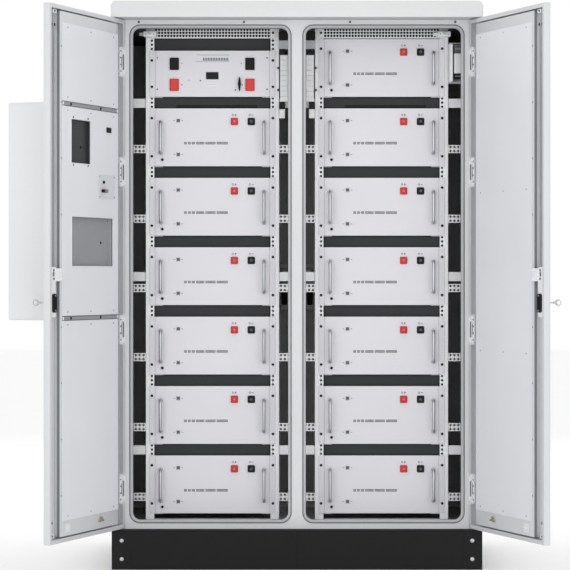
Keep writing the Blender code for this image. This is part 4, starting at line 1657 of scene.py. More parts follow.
@dataclass
class ControlBox(RackBox):
    """Four-unit control box: four power sockets, a display and the isolator lever."""

    ear_screws: tuple[float, ...] = (0.0374, 0.1389)
    socket_u: Span = (0.0717, 0.3622)
    socket_size: Point = (0.0356, 0.047)
    socket_v: Span = (0.0508, 0.1315)
    screen_u: Span = (0.1935, 0.2415)
    screen_v: Span = (0.0825, 0.11)

    def build(self) -> None:
        """Build every piece of the control box."""
        self.locate()
        self.build_case("control_box_shell")
        self.build_sockets()
        self.build_display()
        self.build_details()
        self.build_ear_screws("control_box_rack_screws")
        self.build_isolator()
        contactors = NODES["control_contactors"].data.materials
        contactors.clear()
        contactors.append(BLACK_NYLON.material())

    def build_sockets(self) -> None:
        """Add two black sockets over two red ones."""
        sockets = Solid("control_box_sockets", "cabinet")
        width, height = self.socket_size
        for across in self.socket_u:
            for down, finish in zip(self.socket_v, (BLACK_NYLON, RED_NYLON)):
                x, z = self.at(across, down)
                sockets.wear(finish)
                frame_edge = RoundRect(about(x, width / 2), about(z, height / 2), 0.0035, 5)
                mouth = RoundRect(
                    (x - width / 2 + 0.004, x + width / 2 - 0.004),
                    (z - height / 2 + 0.004, z + height / 2 - 0.004), 0.002, 3,
                )
                sockets.plate(frame_edge, (mouth,), self.proud(0.006), 0.0012)
                sockets.plate(mouth, (), self.proud(0.003), 0.0004)
                for blade in (-0.0095, 0.0, 0.0095):
                    sockets.box(
                        about(x, 0.0085), (self.face - 0.005, self.face - 0.0029),
                        (z + blade - 0.0024, z + blade + 0.0024), 0.0006,
                    )
        sockets.done()

    def build_display(self) -> None:
        """Add the display in its bezel, and the strip of keys under it."""
        display = Solid("control_box_display", "cabinet")
        left, top = self.at(self.screen_u[0], self.screen_v[0])
        right, bottom = self.at(self.screen_u[1], self.screen_v[1])
        bezel = RoundRect((left, right), (bottom, top), 0.0015, 3)
        glass = RoundRect((left + 0.0025, right - 0.0025), (bottom + 0.0025, top - 0.0025), 0.0008, 2)
        display.wear(BLACK_NYLON).plate(bezel, (glass,), self.proud(0.0022), 0.0006)
        display.wear(ACRYLIC).plate(glass, (), self.proud(0.0014), 0.0003)
        strip_x, strip_z = self.at((self.screen_u[0] + self.screen_u[1]) / 2, 0.1305)
        strip = RoundRect(about(strip_x, 0.019), about(strip_z, 0.0042), 0.001, 3)
        display.wear(WHITE_ABS).plate(strip, (), self.proud(0.0006), 0.0002)
        display.wear(PALE_INK)
        for key in range(5):
            gap = strip_x + (key - 2) * 0.0072
            display.box(
                about(gap, 0.0024), (self.face - 0.0009, self.face - 0.0005), about(strip_z, 0.0016), 0.0002
            )
        display.done()

    def build_details(self) -> None:
        """Add the blank name plate, the tell-tales and the fixing screws."""
        details = Solid("control_box_details", "cabinet").wear(PLATE_GREY)
        left, top = self.at(0.1555, 0.0135)
        right, bottom = self.at(0.284, 0.045)
        details.plate(RoundRect((left, right), (bottom, top), 0.0015, 3), (), self.proud(0.0008), 0.0003)
        details.wear(INK)
        y = (self.face - 0.0011, self.face - 0.0009)
        for level in (top - 0.0035, bottom + 0.0045):
            details.box((left + 0.0025, right - 0.0025), y, about(level, 0.0004), 0.0001)
        for bar in range(16):
            start = left + 0.0265 + bar * 0.0062
            details.box((start, start + 0.0038), y, (bottom + 0.0065, top - 0.0135), 0.0001)
        details.wear(DARK_METAL)
        for across, down in ((0.0065, 0.0275), (0.428, 0.0275), (0.0065, 0.148), (0.428, 0.148)):
            x, z = self.at(across, down)
            details.screw(front_of(x, self.face, z), 0.003, 12)
        for across, down in ((0.101, 0.0495), (0.101, 0.131), (0.329, 0.0495), (0.333, 0.131)):
            x, z = self.at(across, down)
            details.screw(front_of(x, self.face, z), 0.0022, 10)
        for across, down, lens in ((0.129, 0.114, PALE_INK), (0.172, 0.115, INK), (0.306, 0.151, INK)):
            x, z = self.at(across, down)
            cap = ((0.0, 0.003), (0.0012, 0.003), (0.0024, 0.002), (0.0028, 0.0008))
            details.wear(lens).turned(cap, front_of(x, self.face, z), 14)
        details.done()

    def build_isolator(self) -> None:
        """Shape the isolator's collar and its lens-shaped lever."""
        low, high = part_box("isolator_lever")
        x, z = (low.x + high.x) / 2, (low.z + high.z) / 2
        collar = Solid("isolator_collar", "cabinet").wear(GREY_ABS)
        ring = ((0.0, 0.008), (0.0001, 0.008), (0.0002, 0.0072))
        collar.turned(ring, front_of(x, self.face, z), 24).done()
        lever = Solid("isolator_handle", "isolator").wear(BLACK_NYLON)
        hub = ((0.0, 0.0062), (0.007, 0.0058), (0.009, 0.0045))
        lever.turned(hub, front_of(x, high.y, z), 24)
        half = (high.z - low.z) / 2
        rings = []
        for step in range(13):
            along = -1.0 + 2.0 * step / 12
            width = 0.005 * (1.0 - 0.5 * along * along) * (1.0 - along ** 8 * 0.6)
            rings.append([
                (x - width, high.y - 0.0072, z + along * half),
                (x - width * 0.75, low.y + 0.002, z + along * half),
                (x, low.y, z + along * half * 0.985),
                (x + width * 0.75, low.y + 0.002, z + along * half),
                (x + width, high.y - 0.0072, z + along * half),
            ])
        loops = [lever.ring([Vector(p) for p in ring], Matrix()) for ring in rings]
        lever.loft(loops)
        lever.done("isolator_lever", slot="black_nylon")


# ---------------------------------------------------------------- doors


@dataclass(frozen=True)
class Hanging:
    """Where a door hangs: local X runs from its pin to its free edge, and local Y inwards."""

    label: str
    side: float
    front: bool

    @property
    def body(self) -> str:
        """Return the name of the door's body."""
        return ("door_" if self.front else "back_door_") + self.label

    @property
    def node(self) -> str:
        """Return the name of the door's CAD shell."""
        return ("front_door_" if self.front else "rear_door_") + self.label

    def matrix(self) -> Matrix:
        """Return the placement of the door's own coordinates at rest.

        Returns:
            The placement.
        """
        joint = JOINTS[self.body + "_hinge"]
        pin = Vector((*joint["pos_m"][:2], 0.0))
        turn = -self.side * math.radians(joint["range_deg"][0]) if self.front else math.pi
        hand = -self.side if self.front else self.side
        mirror = Matrix.Diagonal((hand, 1.0, 1.0, 1.0))
        return Matrix.Translation(pin) @ Matrix.Rotation(turn, 4, "Z") @ mirror


@dataclass
class DoorShell:
    """Folded door tray with its hinge leaves and knuckles."""

    hanging: Hanging
    holes: tuple[Outline, ...] = ()
    x: Span = (-0.018, 0.668)
    y: Span = (-0.01, 0.015)
    z: Span = (0.154, 2.079)
    skin: float = 0.002
    fold: float = 0.016
    lock_x: float = 0.619
    spindle_z: float = 1.1155
    hinge_z: tuple[float, ...] = (0.304, 0.907, 1.503, 1.92)

    def piece(self, name: str, body: str | None = None) -> Solid:
        """Start a piece in the door's own coordinates.

        Args:
            name: The piece's name, without the door's name.
            body: The body that it rides on, which is the door itself if none is given.

        Returns:
            An empty solid.
        """
        full = f"{self.hanging.node}_{name}"
        return Solid(full, body or self.hanging.body, self.hanging.matrix())

    def build(self) -> None:
        """Fold the tray, and add its hinge leaves."""
        out, inn = self.y
        soft = 0.0022
        section = (
            (-soft, out),
            (-soft * 0.3, out + soft * 0.3),
            (0.0, out + soft),
            (0.0, inn - soft),
            (-soft * 0.3, inn - soft * 0.3),
            (-soft, inn),
            (-self.fold, inn),
            (-self.fold, inn - self.skin),
            (-self.skin, inn - self.skin),
            (-self.skin, out + self.skin),
        )
        tray = self.piece("tray").wear(DOOR_COAT)
        holes = [Disc(self.lock_x, self.spindle_z, 0.0085, 20), *self.holes]
        tray.folded(RoundRect(self.x, self.z, 0.003, 3), section, holes)
        for z in self.hinge_z:
            tray.cut((self.x[0] - 0.001, 0.0005), (out + self.skin + 0.0002, inn + 0.001), about(z, 0.0585))
        tray.done(self.hanging.node, slot="door_powder_coat")
        leaves = self.piece("hinge_knuckles").wear(HINGE_CASTING)
        for z in self.hinge_z:
            barrel = ((-0.0185, 0.0055), (-0.0175, 0.0065), (0.0175, 0.0065), (0.0185, 0.0055))
            leaves.turned(barrel, Matrix.Translation((0.0, 0.0, z)), 18)
            leaves.box((-0.0045, 0.0045), (out + self.skin + 0.0002, 0.0), about(z, 0.018), 0.0006)
            leaf = RoundRect((0.0095, 0.0345), about(z, 0.054), 0.01, 1)
            hole = RoundRect((0.0135, 0.024), about(z, 0.032), 0.003, 3)
            leaves.plate(leaf, (hole,), (inn + 0.0002, inn + 0.0028), 0.0006)
            for end in (-1.0, 1.0):
                foot = ordered(z + end * 0.034, z + end * 0.043)
                leaves.box((0.02, 0.033), (out + self.skin + 0.0002, inn), foot, 0.0008)
            leaves.wear(BLACK_NYLON)
            for bolt in (-0.038, -0.013, 0.013, 0.038):
                leaves.screw(back_of(0.0285, inn + 0.0028, z + bolt), 0.0034)
            leaves.wear(HINGE_CASTING)
        leaves.done()


@dataclass
class DoorLiner:
    """Inner pan of a front door with its screwed cover panels."""

    shell: DoorShell
    windows: tuple[RoundRect, ...] = ()
    x: Span = (0.048, 0.575)
    z: Span = (0.175, 2.058)
    base: float = -0.0077
    face: float = 0.0147
    sheet: float = 0.0015
    panel_x: Span = (0.0515, 0.561)
    panel_ends: Span = (0.2315, 2.018)
    bars: tuple[float, ...] = ()
    bar_half: float = 0.0085
    screw_x: tuple[float, ...] = (0.0961, 0.3081, 0.5159)
    edge_x: float = 0.5675
    edge_z0: float = 0.3228
    edge_pitch: float = 0.2012
    edge_count: int = 9

    def build(self) -> None:
        """Build the pan, its panels, its cross bars and all screws."""
        pan = self.shell.piece("liner_pan").wear(LINER_COAT)
        section = (
            (-self.sheet, self.face - self.sheet),
            (-self.sheet, self.base),
            (0.0, self.base),
            (0.0, self.face - 0.0018),
            (-0.0006, self.face - 0.0005),
            (-0.002, self.face),
        )
        pan.folded(RoundRect(self.x, self.z, 0.004, 3), section, self.windows)
        # A dark grey strip over the pan's flank: painted shade where the flank falls into shadow.
        shade_strip = (
            (0.0003, self.face - 0.012),
            (0.0003, self.face - 0.0035),
            (0.0016, self.face - 0.0045),
            (0.0024, self.face - 0.012),
        )
        pan.wear(SHADE_LINE_COAT).hoop(RoundRect(self.x, self.z, 0.004, 3), shade_strip)
        pan.done("door_liner_" + self.shell.hanging.label, slot="liner_powder_coat")
        self.build_panels()
        self.build_screws()

    def levels(self) -> list[Span]:
        """Return the low and high edge of each panel between the cross bars.

        Returns:
            Low and high Z of each part.
        """
        edges = [self.panel_ends[0]]
        for bar in sorted(self.bars):
            edges += [bar - self.bar_half, bar + self.bar_half]
        edges.append(self.panel_ends[1])
        return list(zip(edges[::2], edges[1::2]))

    def build_panels(self) -> None:
        """Add the cover panels, with the windows cut through them."""
        panels = self.shell.piece("liner_panels").wear(LINER_PANEL)
        top = self.face + 0.0022
        for low, high in self.levels():
            holes = [w for w in self.windows if low < w.z[0] and w.z[1] < high]
            panels.plate(
                RoundRect(self.panel_x, (low, high), 0.003, 3), holes, (self.face + 0.0002, top), 0.0008
            )
        for window in self.windows:
            section = (
                (0.006, top), (0.006, top + 0.0008), (0.0015, top + 0.0016), (0.0002, top + 0.0008),
                (0.0002, top - 0.004), (0.0012, top - 0.004),
            )
            panels.hoop(window, section)
        panels.done(slot="liner_powder_coat")
        if self.bars:
            self.build_bars()

    def build_bars(self) -> None:
        """Add the channel between two panels, with its flanges and pale end blocks; its floor and flanges
        are grey as painted shade of the recess.
        """
        bars = self.shell.piece("liner_cross_bars")
        floor = self.face + 0.0002
        half = self.bar_half - 0.0006
        for bar in self.bars:
            low, high = self.panel_x
            # The floor and the flanges in the duct grey: painted shade that makes the shallow channel read
            # as a recess.
            bars.wear(DUCT_AND_SHADE_COAT).box((low, high), (floor, floor + 0.0008), about(bar, half), 0.0002)
            for edge in (bar - half, bar + half - 0.0012):
                bars.box((low, high), (floor + 0.0009, floor + 0.003), (edge, edge + 0.0012), 0.0003)
            bars.wear(LINER_PANEL)
            for end in (low + 0.001, high - 0.011):
                bars.box(
                    (end, end + 0.01), (floor + 0.0009, floor + 0.0026),
                    (bar - half + 0.002, bar + half - 0.002), 0.0006,
                )
        bars.done(slot="liner_powder_coat")

    def build_screws(self) -> None:
        """Add the panel screws, the edge screws and the screws of the cross bars."""
        top = self.face + 0.0022
        screws = self.shell.piece("liner_screws").wear(PANEL_SCREW)
        rows = [level for low, high in self.levels() for level in (low + 0.015, high - 0.015)]
        if not self.bars:
            rows += [0.83, 1.4209]
        for z in rows:
            for x in self.screw_x:
                screws.screw(back_of(x, top, z), 0.003, 12)
        for step in range(self.edge_count):
            screws.screw(back_of(self.edge_x, self.face, self.edge_z0 + step * self.edge_pitch), 0.0032, 12)
        screws.wear(BLACK_NYLON)
        for bar in self.bars:
            for x in (0.2143, 0.4858):
                screws.screw(back_of(x, self.face + 0.001, bar), 0.0055, 14)
        screws.done()


@dataclass
class DoorFittings:
    """Earth studs, rod guides, lock plate and the cover of the lock's inside."""

    shell: DoorShell
    plate_x: Span = (0.6, 0.649)
    plate_z: Span = (0.962, 1.1416)
    lock_level: float = 0.0065
    rod_x: Point = (0.6065, 0.6315)

    def build(self) -> None:
        """Build every fitting on the inside and on the lock's outside."""
        x, z = self.shell.lock_x, self.shell.spindle_z
        outside = self.shell.y[0]
        cover = self.shell.piece("lock_base").wear(BLACK_NYLON)
        edge = RoundRect(about(x, 0.018), (0.963, 1.141), 0.006, 5)
        cover.plate(edge, (Disc(x, z, 0.0083, 24),), (outside - 0.003, outside - 0.0001), 0.001)
        cover.done(slot="black_nylon")
        plate = self.shell.piece("lock_inner_plate").wear(HINGE_CASTING)
        level = (self.lock_level, self.lock_level + 0.002)
        holes = (Disc(x, z, 0.009, 24),)
        plate.plate(RoundRect(self.plate_x, self.plate_z, 0.002, 3), holes, level, 0.0006)
        for end in self.plate_z:
            foot = ordered(end, end - math.copysign(0.003, end - 1.05))
            plate.box((0.642, 0.6485), (self.shell.y[0] + 0.0022, level[0]), foot, 0.0006)
        wing = RoundRect((0.569, 0.601), (1.09, 1.137), 0.003, 3)
        plate.plate(wing, (), (0.0174, 0.0192), 0.0006)
        plate.box((0.599, 0.601), (level[0], 0.019), (1.0905, 1.1365), 0.0005)
        plate.wear(BLACK_NYLON)
        for bolt_x, bolt_z, bolt_y in ((0.6188, 1.13, level[1]), (0.6188, 1.099, level[1])):
            plate.screw(back_of(bolt_x, bolt_y, bolt_z), 0.0046, 14)
        plate.wear(HINGE_CASTING)
        for bolt_z in (1.097, 1.13):
            plate.screw(back_of(0.578, 0.0192, bolt_z), 0.005, 14)
        plate.done()
        housing = self.shell.piece("lock_housing").wear(BLACK_NYLON)
        section = ((0.0, level[1]), (0.0, 0.0125), (-0.0015, 0.0145), (-0.004, 0.0155))
        housing.folded(RoundRect((0.602, 0.635), (0.979, 1.046), 0.01, 5), section)
        for rib in (0.611, 0.6185, 0.626):
            housing.box(about(rib, 0.0012), (0.015, 0.0168), (0.99, 1.035), 0.0005)
        housing.wear(ZINC)
        for end in (0.986, 1.039):
            housing.screw(back_of(0.6185, 0.0155, end), 0.003, 12)
        housing.done(slot="black_nylon")
        self.build_guides()
        self.build_earth()

    def build_guides(self) -> None:
        """Add the guide of each rod at its end, with its roller."""
        guides = self.shell.piece("rod_guides")
        floor = self.shell.y[0] + 0.0022
        for rod, z, roller_z in ((self.rod_x[0], 2.054, 2.007), (self.rod_x[1], 0.183, 0.2287)):
            guides.wear(HINGE_CASTING)
            for side in (-1.0, 1.0):
                foot = ordered(rod + side * 0.0075, rod + side * 0.01)
                guides.box(foot, (floor, 0.005), about(z, 0.006), 0.0005)
            guides.plate(
                RoundRect(about(rod, 0.016), about(z, 0.007), 0.003, 4), (), (0.005, 0.0066), 0.0005
            )
            guides.wear(BLACK_NYLON)
            guides.screw(back_of(rod, 0.0066, z), 0.0044, 14)
            for pair in (-1.0, 1.0):
                spool = (
                    (0.0, 0.0055), (0.002, 0.0055), (0.003, 0.0042), (0.006, 0.0042), (0.007, 0.0055),
                    (0.009, 0.0055),
                )
                guides.turned(spool, back_of(rod + pair * 0.013, floor, roller_z), 16)
        guides.done()

    def build_earth(self) -> None:
        """Add the earth studs and the bracket near the door's foot."""
        earth = self.shell.piece("earth_fittings").wear(HINGE_CASTING)
        face = 0.0147
        bracket = RoundRect((0.494, 0.533), (0.188, 0.218), 0.003, 3)
        holes = tuple(Disc(x, z, 0.0035, 14) for x in (0.5035, 0.5235) for z in (0.196, 0.21))
        earth.plate(bracket, holes, (face + 0.0002, face + 0.0022), 0.0005)
        for x, z in ((0.219, 0.215), (0.232, 0.204), (0.207, 0.205)):
            nut = ((0.0, 0.0062), (0.0045, 0.0062), (0.005, 0.0054))
            earth.wear(ZINC).turned(nut, back_of(x, face, z), 6)
            stud = ((0.0, 0.0032), (0.011, 0.0032), (0.012, 0.0024))
            earth.wear(BRASS).turned(stud, back_of(x, face, z), 14)
        earth.done()


@dataclass
class SwingLock:
    """Swing-handle lock of one front door: spindle, lever, key and two rods."""

    shell: DoorShell
    lever_top: float = 0.016
    lever_length: float = 0.16
    lever_y: Span = (-0.0275, -0.0145)
    lever_w: Point = (0.026, 0.023)
    key_z: float = 1.014
    rod_w: float = 0.012
    rod_y: Span = (-0.0017, 0.0013)

    def build(self) -> None:
        """Build each moving piece on its own body."""
        label = self.shell.hanging.label
        x, z = self.shell.lock_x, self.shell.spindle_z
        spindle = self.shell.piece("lock_spindle", "spindle_" + label).wear(ZINC)
        collar = ((-0.001, 0.011), (0.0, 0.012), (0.0006, 0.012), (0.0012, 0.011))
        spindle.turned(collar, front_of(x, -0.0134, z), 28)
        spindle.turned(((0.0, 0.0076), (0.0075, 0.0076)), front_of(x, -0.0055, z), 24)
        cam = ((0.0, 0.0205), (0.0008, 0.0218), (0.0032, 0.0218), (0.004, 0.0205))
        spindle.turned(cam, back_of(x, -0.006, z), 32)
        spindle.turned(((0.0, 0.006), (0.0055, 0.006), (0.0065, 0.005)), back_of(x, -0.002, z), 20)
        for pin in (-1.0, 1.0):
            place = back_of(x + pin * 0.0125, -0.0021, z)
            spindle.turned(((0.0, 0.003), (0.0002, 0.003), (0.0003, 0.002)), place, 14)
        spindle.done("lock_spindle_" + label, slot="zinc_plated_steel")
        self.build_lever("lever_" + label, label)
        self.build_key("key_" + label, label)
        for name, rod_x, span in (
            ("upper", 0.6065, (z + 0.0102, 2.0655)), ("lower", 0.6315, (0.1685, z - 0.0102))
        ):
            rod = self.shell.piece("rod_" + name, f"{name}_rod_{label}").wear(ZINC)
            edge = RoundRect(about(rod_x, self.rod_w / 2), span, 0.0035, 4)
            rod.plate(edge, (), self.rod_y, 0.0004)
            rod.done(f"rod_{name}_{label}", slot="zinc_plated_steel")

    def build_lever(self, body: str, label: str) -> None:
        """Shape the lever: crowned, waisted and round at both ends.

        Args:
            body: The lever's body.
            label: The door's side.
        """
        lever = self.shell.piece("lock_lever", body).wear(BLACK_NYLON)
        x, top = self.shell.lock_x, self.shell.spindle_z + self.lever_top
        front, back = self.lever_y
        loops = []
        for step in range(17):
            share = step / 16
            end = min(share, 1.0 - share) * self.lever_length
            cap = min(end / 0.011, 1.0)
            round_end = math.sqrt(max(1.0 - (1.0 - cap) ** 2, 0.02))
            half = (self.lever_w[0] + (self.lever_w[1] - self.lever_w[0]) * math.sin(math.pi * share)) / 2
            half *= round_end
            crown = front + 0.002 * (1.0 - round_end) + 0.001 * math.sin(math.pi * share)
            level = top - share * self.lever_length
            soft = min(0.004, half * 0.5)
            ring = [
                (x - half, back, level), (x - half, crown + soft, level),
                (x - half + soft * 0.3, crown + soft * 0.3, level), (x - half + soft, crown, level),
                (x + half - soft, crown, level), (x + half - soft * 0.3, crown + soft * 0.3, level),
                (x + half, crown + soft, level), (x + half, back, level),
            ]
            loops.append(lever.ring([Vector(p) for p in ring], Matrix()))
        lever.loft(loops)
        barrel = ((0.0, 0.0085), (0.0012, 0.0085), (0.0018, 0.0078), (0.0018, 0.003))
        lever.wear(ZINC).turned(barrel, front_of(x, front + 0.0008, self.key_z), 24)
        lever.done("lock_lever_" + label, slot="black_nylon")

    def build_key(self, body: str, label: str) -> None:
        """Cut the key: blade, shoulder and ring-shaped bow.

        Args:
            body: The key's body.
            label: The door's side.
        """
        key = self.shell.piece("lock_key", body).wear(ZINC)
        x, front = self.shell.lock_x, self.lever_y[0]
        key.box(about(x, 0.001), (front - 0.023, front + 0.004), about(self.key_z, 0.003), 0.0004)
        key.box(about(x, 0.0013), (front - 0.0225, front - 0.015), about(self.key_z, 0.0048), 0.0005)
        lay = Matrix.Translation((x, 0.0, 0.0)) @ Matrix.Rotation(math.radians(90.0), 4, "Z")
        bow_y = front - 0.034
        bow = Disc(bow_y, self.key_z, 0.0122, 32)
        eye = Disc(bow_y - 0.003, self.key_z, 0.007, 24)
        key.plate(bow, (eye,), (-0.0011, 0.0011), 0.0005, lay)
        key.done("lock_key_" + label, slot="zinc_plated_steel")


@dataclass
class LeftDoorEquipment:
    """What the left door carries inside: air grilles, service port and terminal plate."""

    shell: DoorShell
    windows: tuple[RoundRect, ...]
    face: float = 0.0169
    outlet_in: float = 0.014
    inlet_in: float = 0.023

    def build(self) -> None:
        """Build the window backs, the port and the terminal plate."""
        outlet, inlet = self.windows
        backs = (
            ("air_outlet_back", outlet, DARK_GRILLE, self.outlet_in, (0.369, 1.579)),
            ("air_inlet_back", inlet, DUCT_AND_SHADE_COAT, self.inlet_in, (0.165, 1.233)),
        )
        for name, window, finish, depth, (screw_x, screw_z) in backs:
            back = self.shell.piece(name).wear(finish)
            section = (
                (-0.0004, self.face - 0.006),
                (-0.0004, self.face - depth),
                (-0.0016, self.face - depth),
                (-0.0016, self.face - 0.006),
            )
            back.hoop(window, section)
            floor = RoundRect(window.x, window.z, window.radius, 2)
            level = self.face - depth - 0.0002
            back.plate(floor, (), (level - 0.0012, level), 0.0003)
            back.wear(BLACK_NYLON).screw(back_of(screw_x, level, screw_z), 0.0055, 14)
            back.done()
        panel = self.shell.piece("service_panel").wear(PALE_PANEL)
        face = self.face
        panel.plate(
            RoundRect((0.087, 0.238), (1.396, 1.485), 0.003, 4), (), (face + 0.0001, face + 0.0022), 0.0008
        )
        panel.wear(BLACK_NYLON)
        panel.plate(
            RoundRect((0.124, 0.164), (1.6433, 1.6623), 0.0015, 3), (), (face + 0.0001, face + 0.004), 0.001
        )
        panel.turned(
            ((0.0, 0.0056), (0.004, 0.0056), (0.0055, 0.0044)), back_of(0.1968, face + 0.0022, 1.457), 20
        )
        panel.box((0.2, 0.216), (face + 0.002, face + 0.015), (1.419, 1.4305), 0.0015)
        panel.wear(RED_NYLON).box((0.204, 0.212), (face + 0.015, face + 0.0156), (1.4205, 1.429), 0.0005)
        panel.wear(GREY_CORE).box((0.1775, 0.1995), (face + 0.002, face + 0.015), (1.419, 1.4305), 0.0015)
        panel.wear(PALE_INK)
        for port in range(4):
            gap = 0.181 + port * 0.0052
            panel.box((gap, gap + 0.0026), (face + 0.0148, face + 0.0155), (1.4215, 1.428), 0.0003)
        panel.wear(DARK_METAL)
        for x in (0.094, 0.231):
            for z in (1.403, 1.478):
                panel.screw(back_of(x, face + 0.0022, z), 0.0026, 10)
        for x in (0.3349, 0.4669):
            for z in (1.5116, 1.684):
                panel.screw(back_of(x, face + 0.0002, z), 0.004, 12)
        panel.done()


@dataclass
class DoorCooler:
    """Cooling unit on the outside of the left door, with its fan."""

    shell: DoorShell
    windows: tuple[RoundRect, ...]
    x: Span = (0.0665, 0.5125)
    z: Span = (0.949, 1.738)
    y: Span = (-0.2203, -0.0103)
    sheet: float = 0.002
    fan_z: float = 1.52
    fan_r: float = 0.13
    blades: int = 7
    louvres: int = 11
    louvre_pitch: float = 0.024
    louvre_z: float = 1.005

    def build(self) -> None:
        """Build the casing, its grilles, the condenser fins and the fan."""
        middle = (self.x[0] + self.x[1]) / 2
        front, back = self.y
        slots = [
            RoundRect(about(middle, 0.15), about(level, 0.0045), 0.004, 4)
            for level in (self.louvre_z + self.louvre_pitch * i for i in range(self.louvres))
        ]
        casing = self.shell.piece("cooler_casing").wear(COOLER_COAT)
        section = (
            (-0.004, front), (-0.0012, front + 0.001), (0.0, front + 0.004), (0.0, back),
            (-self.sheet, back), (-self.sheet, front + self.sheet),
        )
        opening = Disc(middle, self.fan_z, self.fan_r, 48)
        casing.folded(RoundRect(self.x, self.z, 0.01, 6), section, [opening, *slots])
        inner = RoundRect(
            (self.x[0] + 0.003, self.x[1] - 0.003), (self.z[0] + 0.003, self.z[1] - 0.003), 0.008, 4
        )
        casing.plate(inner, self.windows, (back - 0.0022, back - 0.0003), 0.0004)
        for slot in slots:
            hood = Matrix.Translation((0.0, front, slot.z[1] + 0.001)) @ Matrix.Rotation(
                math.radians(-32.0), 4, "X"
            )
            casing.box(about(middle, 0.152), (-0.005, 0.006), (-0.0008, 0.0008), 0.0004, hood)
        casing.done("cooler_case", slot="cooler_powder_coat")
        self.build_trim(middle, front, back)
        fins = self.shell.piece("cooler_condenser").wear(CONDENSER)
        for step in range(46):
            x = middle - 0.148 + step * 0.0064
            fins.box((x, x + 0.001), (front + 0.025, front + 0.065), (0.985, 1.27), 0.0002)
        fins.box(about(middle, 0.156), (front + 0.07, front + 0.072), (0.96, 1.72), 0.0004)
        fins.done()
        self.build_fan(middle, front)

    def build_trim(self, middle: float, front: float, back: float) -> None:
        """Add the fan guard, the cover's seam, the screws, the drain and the cable gland.

        Args:
            middle: X of the unit's middle.
            front: Y of its outer face.
            back: Y of its rear face.
        """
        trim = self.shell.piece("cooler_trim").wear(DARK_GRILLE)
        for ring in range(1, 7):
            radius = ring * self.fan_r / 6
            circle = [
                Vector((middle + radius * math.cos(t), front - 0.001, self.fan_z + radius * math.sin(t)))
                for t in (2 * math.pi * i / 40 for i in range(41))
            ]
            trim.tube(circle, 0.0013, 6)
        for spoke in range(4):
            turn = math.radians(45.0 + 90.0 * spoke)
            tip = Vector((
                middle + (self.fan_r + 0.008) * math.cos(turn),
                front - 0.0025,
                self.fan_z + (self.fan_r + 0.008) * math.sin(turn),
            ))
            trim.tube([Vector((middle, front - 0.0025, self.fan_z)), tip], 0.0018, 8)
        trim.wear(ZINC)
        for spoke in range(4):
            turn = math.radians(45.0 + 90.0 * spoke)
            at = front_of(
                middle + (self.fan_r + 0.01) * math.cos(turn), front,
                self.fan_z + (self.fan_r + 0.01) * math.sin(turn),
            )
            trim.screw(at, 0.004, 12)
        for x in (self.x[0] + 0.012, self.x[1] - 0.012):
            for z in (self.z[0] + 0.014, 1.29, self.z[1] - 0.014):
                trim.screw(front_of(x, front, z), 0.0036, 12)
        trim.wear(GASKET)
        rim = RoundRect(
            (self.x[0] - 0.0015, self.x[1] + 0.0015), (self.z[0] - 0.0015, self.z[1] + 0.0015), 0.011, 6
        )
        section = (
            (0.0, back - 0.003), (0.0, back - 0.0001), (-0.006, back - 0.0001), (-0.006, back - 0.003)
        )
        trim.hoop(rim, section)
        drain = Matrix.Translation((self.x[1] - 0.06, back - 0.05, self.z[0])) @ Matrix.Rotation(
            math.pi, 4, "X"
        )
        trim.wear(BLACK_NYLON).turned(
            ((-0.001, 0.01), (0.004, 0.01), (0.005, 0.006), (0.022, 0.0055), (0.023, 0.0045)), drain, 18
        )
        gland = Matrix.Translation((self.x[0] + 0.06, back - 0.05, self.z[0])) @ Matrix.Rotation(
            math.pi, 4, "X"
        )
        trim.turned(
            ((-0.001, 0.013), (0.006, 0.013), (0.007, 0.011), (0.018, 0.01), (0.019, 0.007)), gland, 6
        )
        trim.done()

    def build_fan(self, middle: float, front: float) -> None:
        """Add the hub and the twisted blades on the fan's body.

        Args:
            middle: X of the fan's axis.
            front: Y of the unit's outer face.
        """
        fan = self.shell.piece("cooler_fan_wheel", "fan").wear(BLACK_NYLON)
        near = front + 0.02
        hub = ((0.0, 0.03), (0.003, 0.035), (0.056, 0.036), (0.06, 0.034))
        fan.turned(hub, back_of(middle, near, self.fan_z), 36)
        reach = self.fan_r - 0.003
        for blade in range(self.blades):
            start = 2 * math.pi * blade / self.blades
            loops = []
            for step in range(7):
                share = step / 6
                radius = 0.034 + (reach - 0.034) * share
                spread = 0.42 - 0.1 * share
                pitch = 0.015 - 0.005 * share
                ring = []
                for across, lift in (
                    (-1.0, 0.0), (0.0, 0.0028), (1.0, 0.0), (1.0, -0.0016), (0.0, 0.001), (-1.0, -0.0016)
                ):
                    turn = start + across * spread + 0.18 * share
                    depth = near + 0.03 + across * pitch - lift
                    ring.append(Vector((
                        middle + radius * math.cos(turn),
                        depth,
                        self.fan_z + radius * math.sin(turn),
                    )))
                loops.append(fan.ring(ring, Matrix()))
            fan.loft(loops)
        fan.done("cooler_fan", slot="black_nylon")


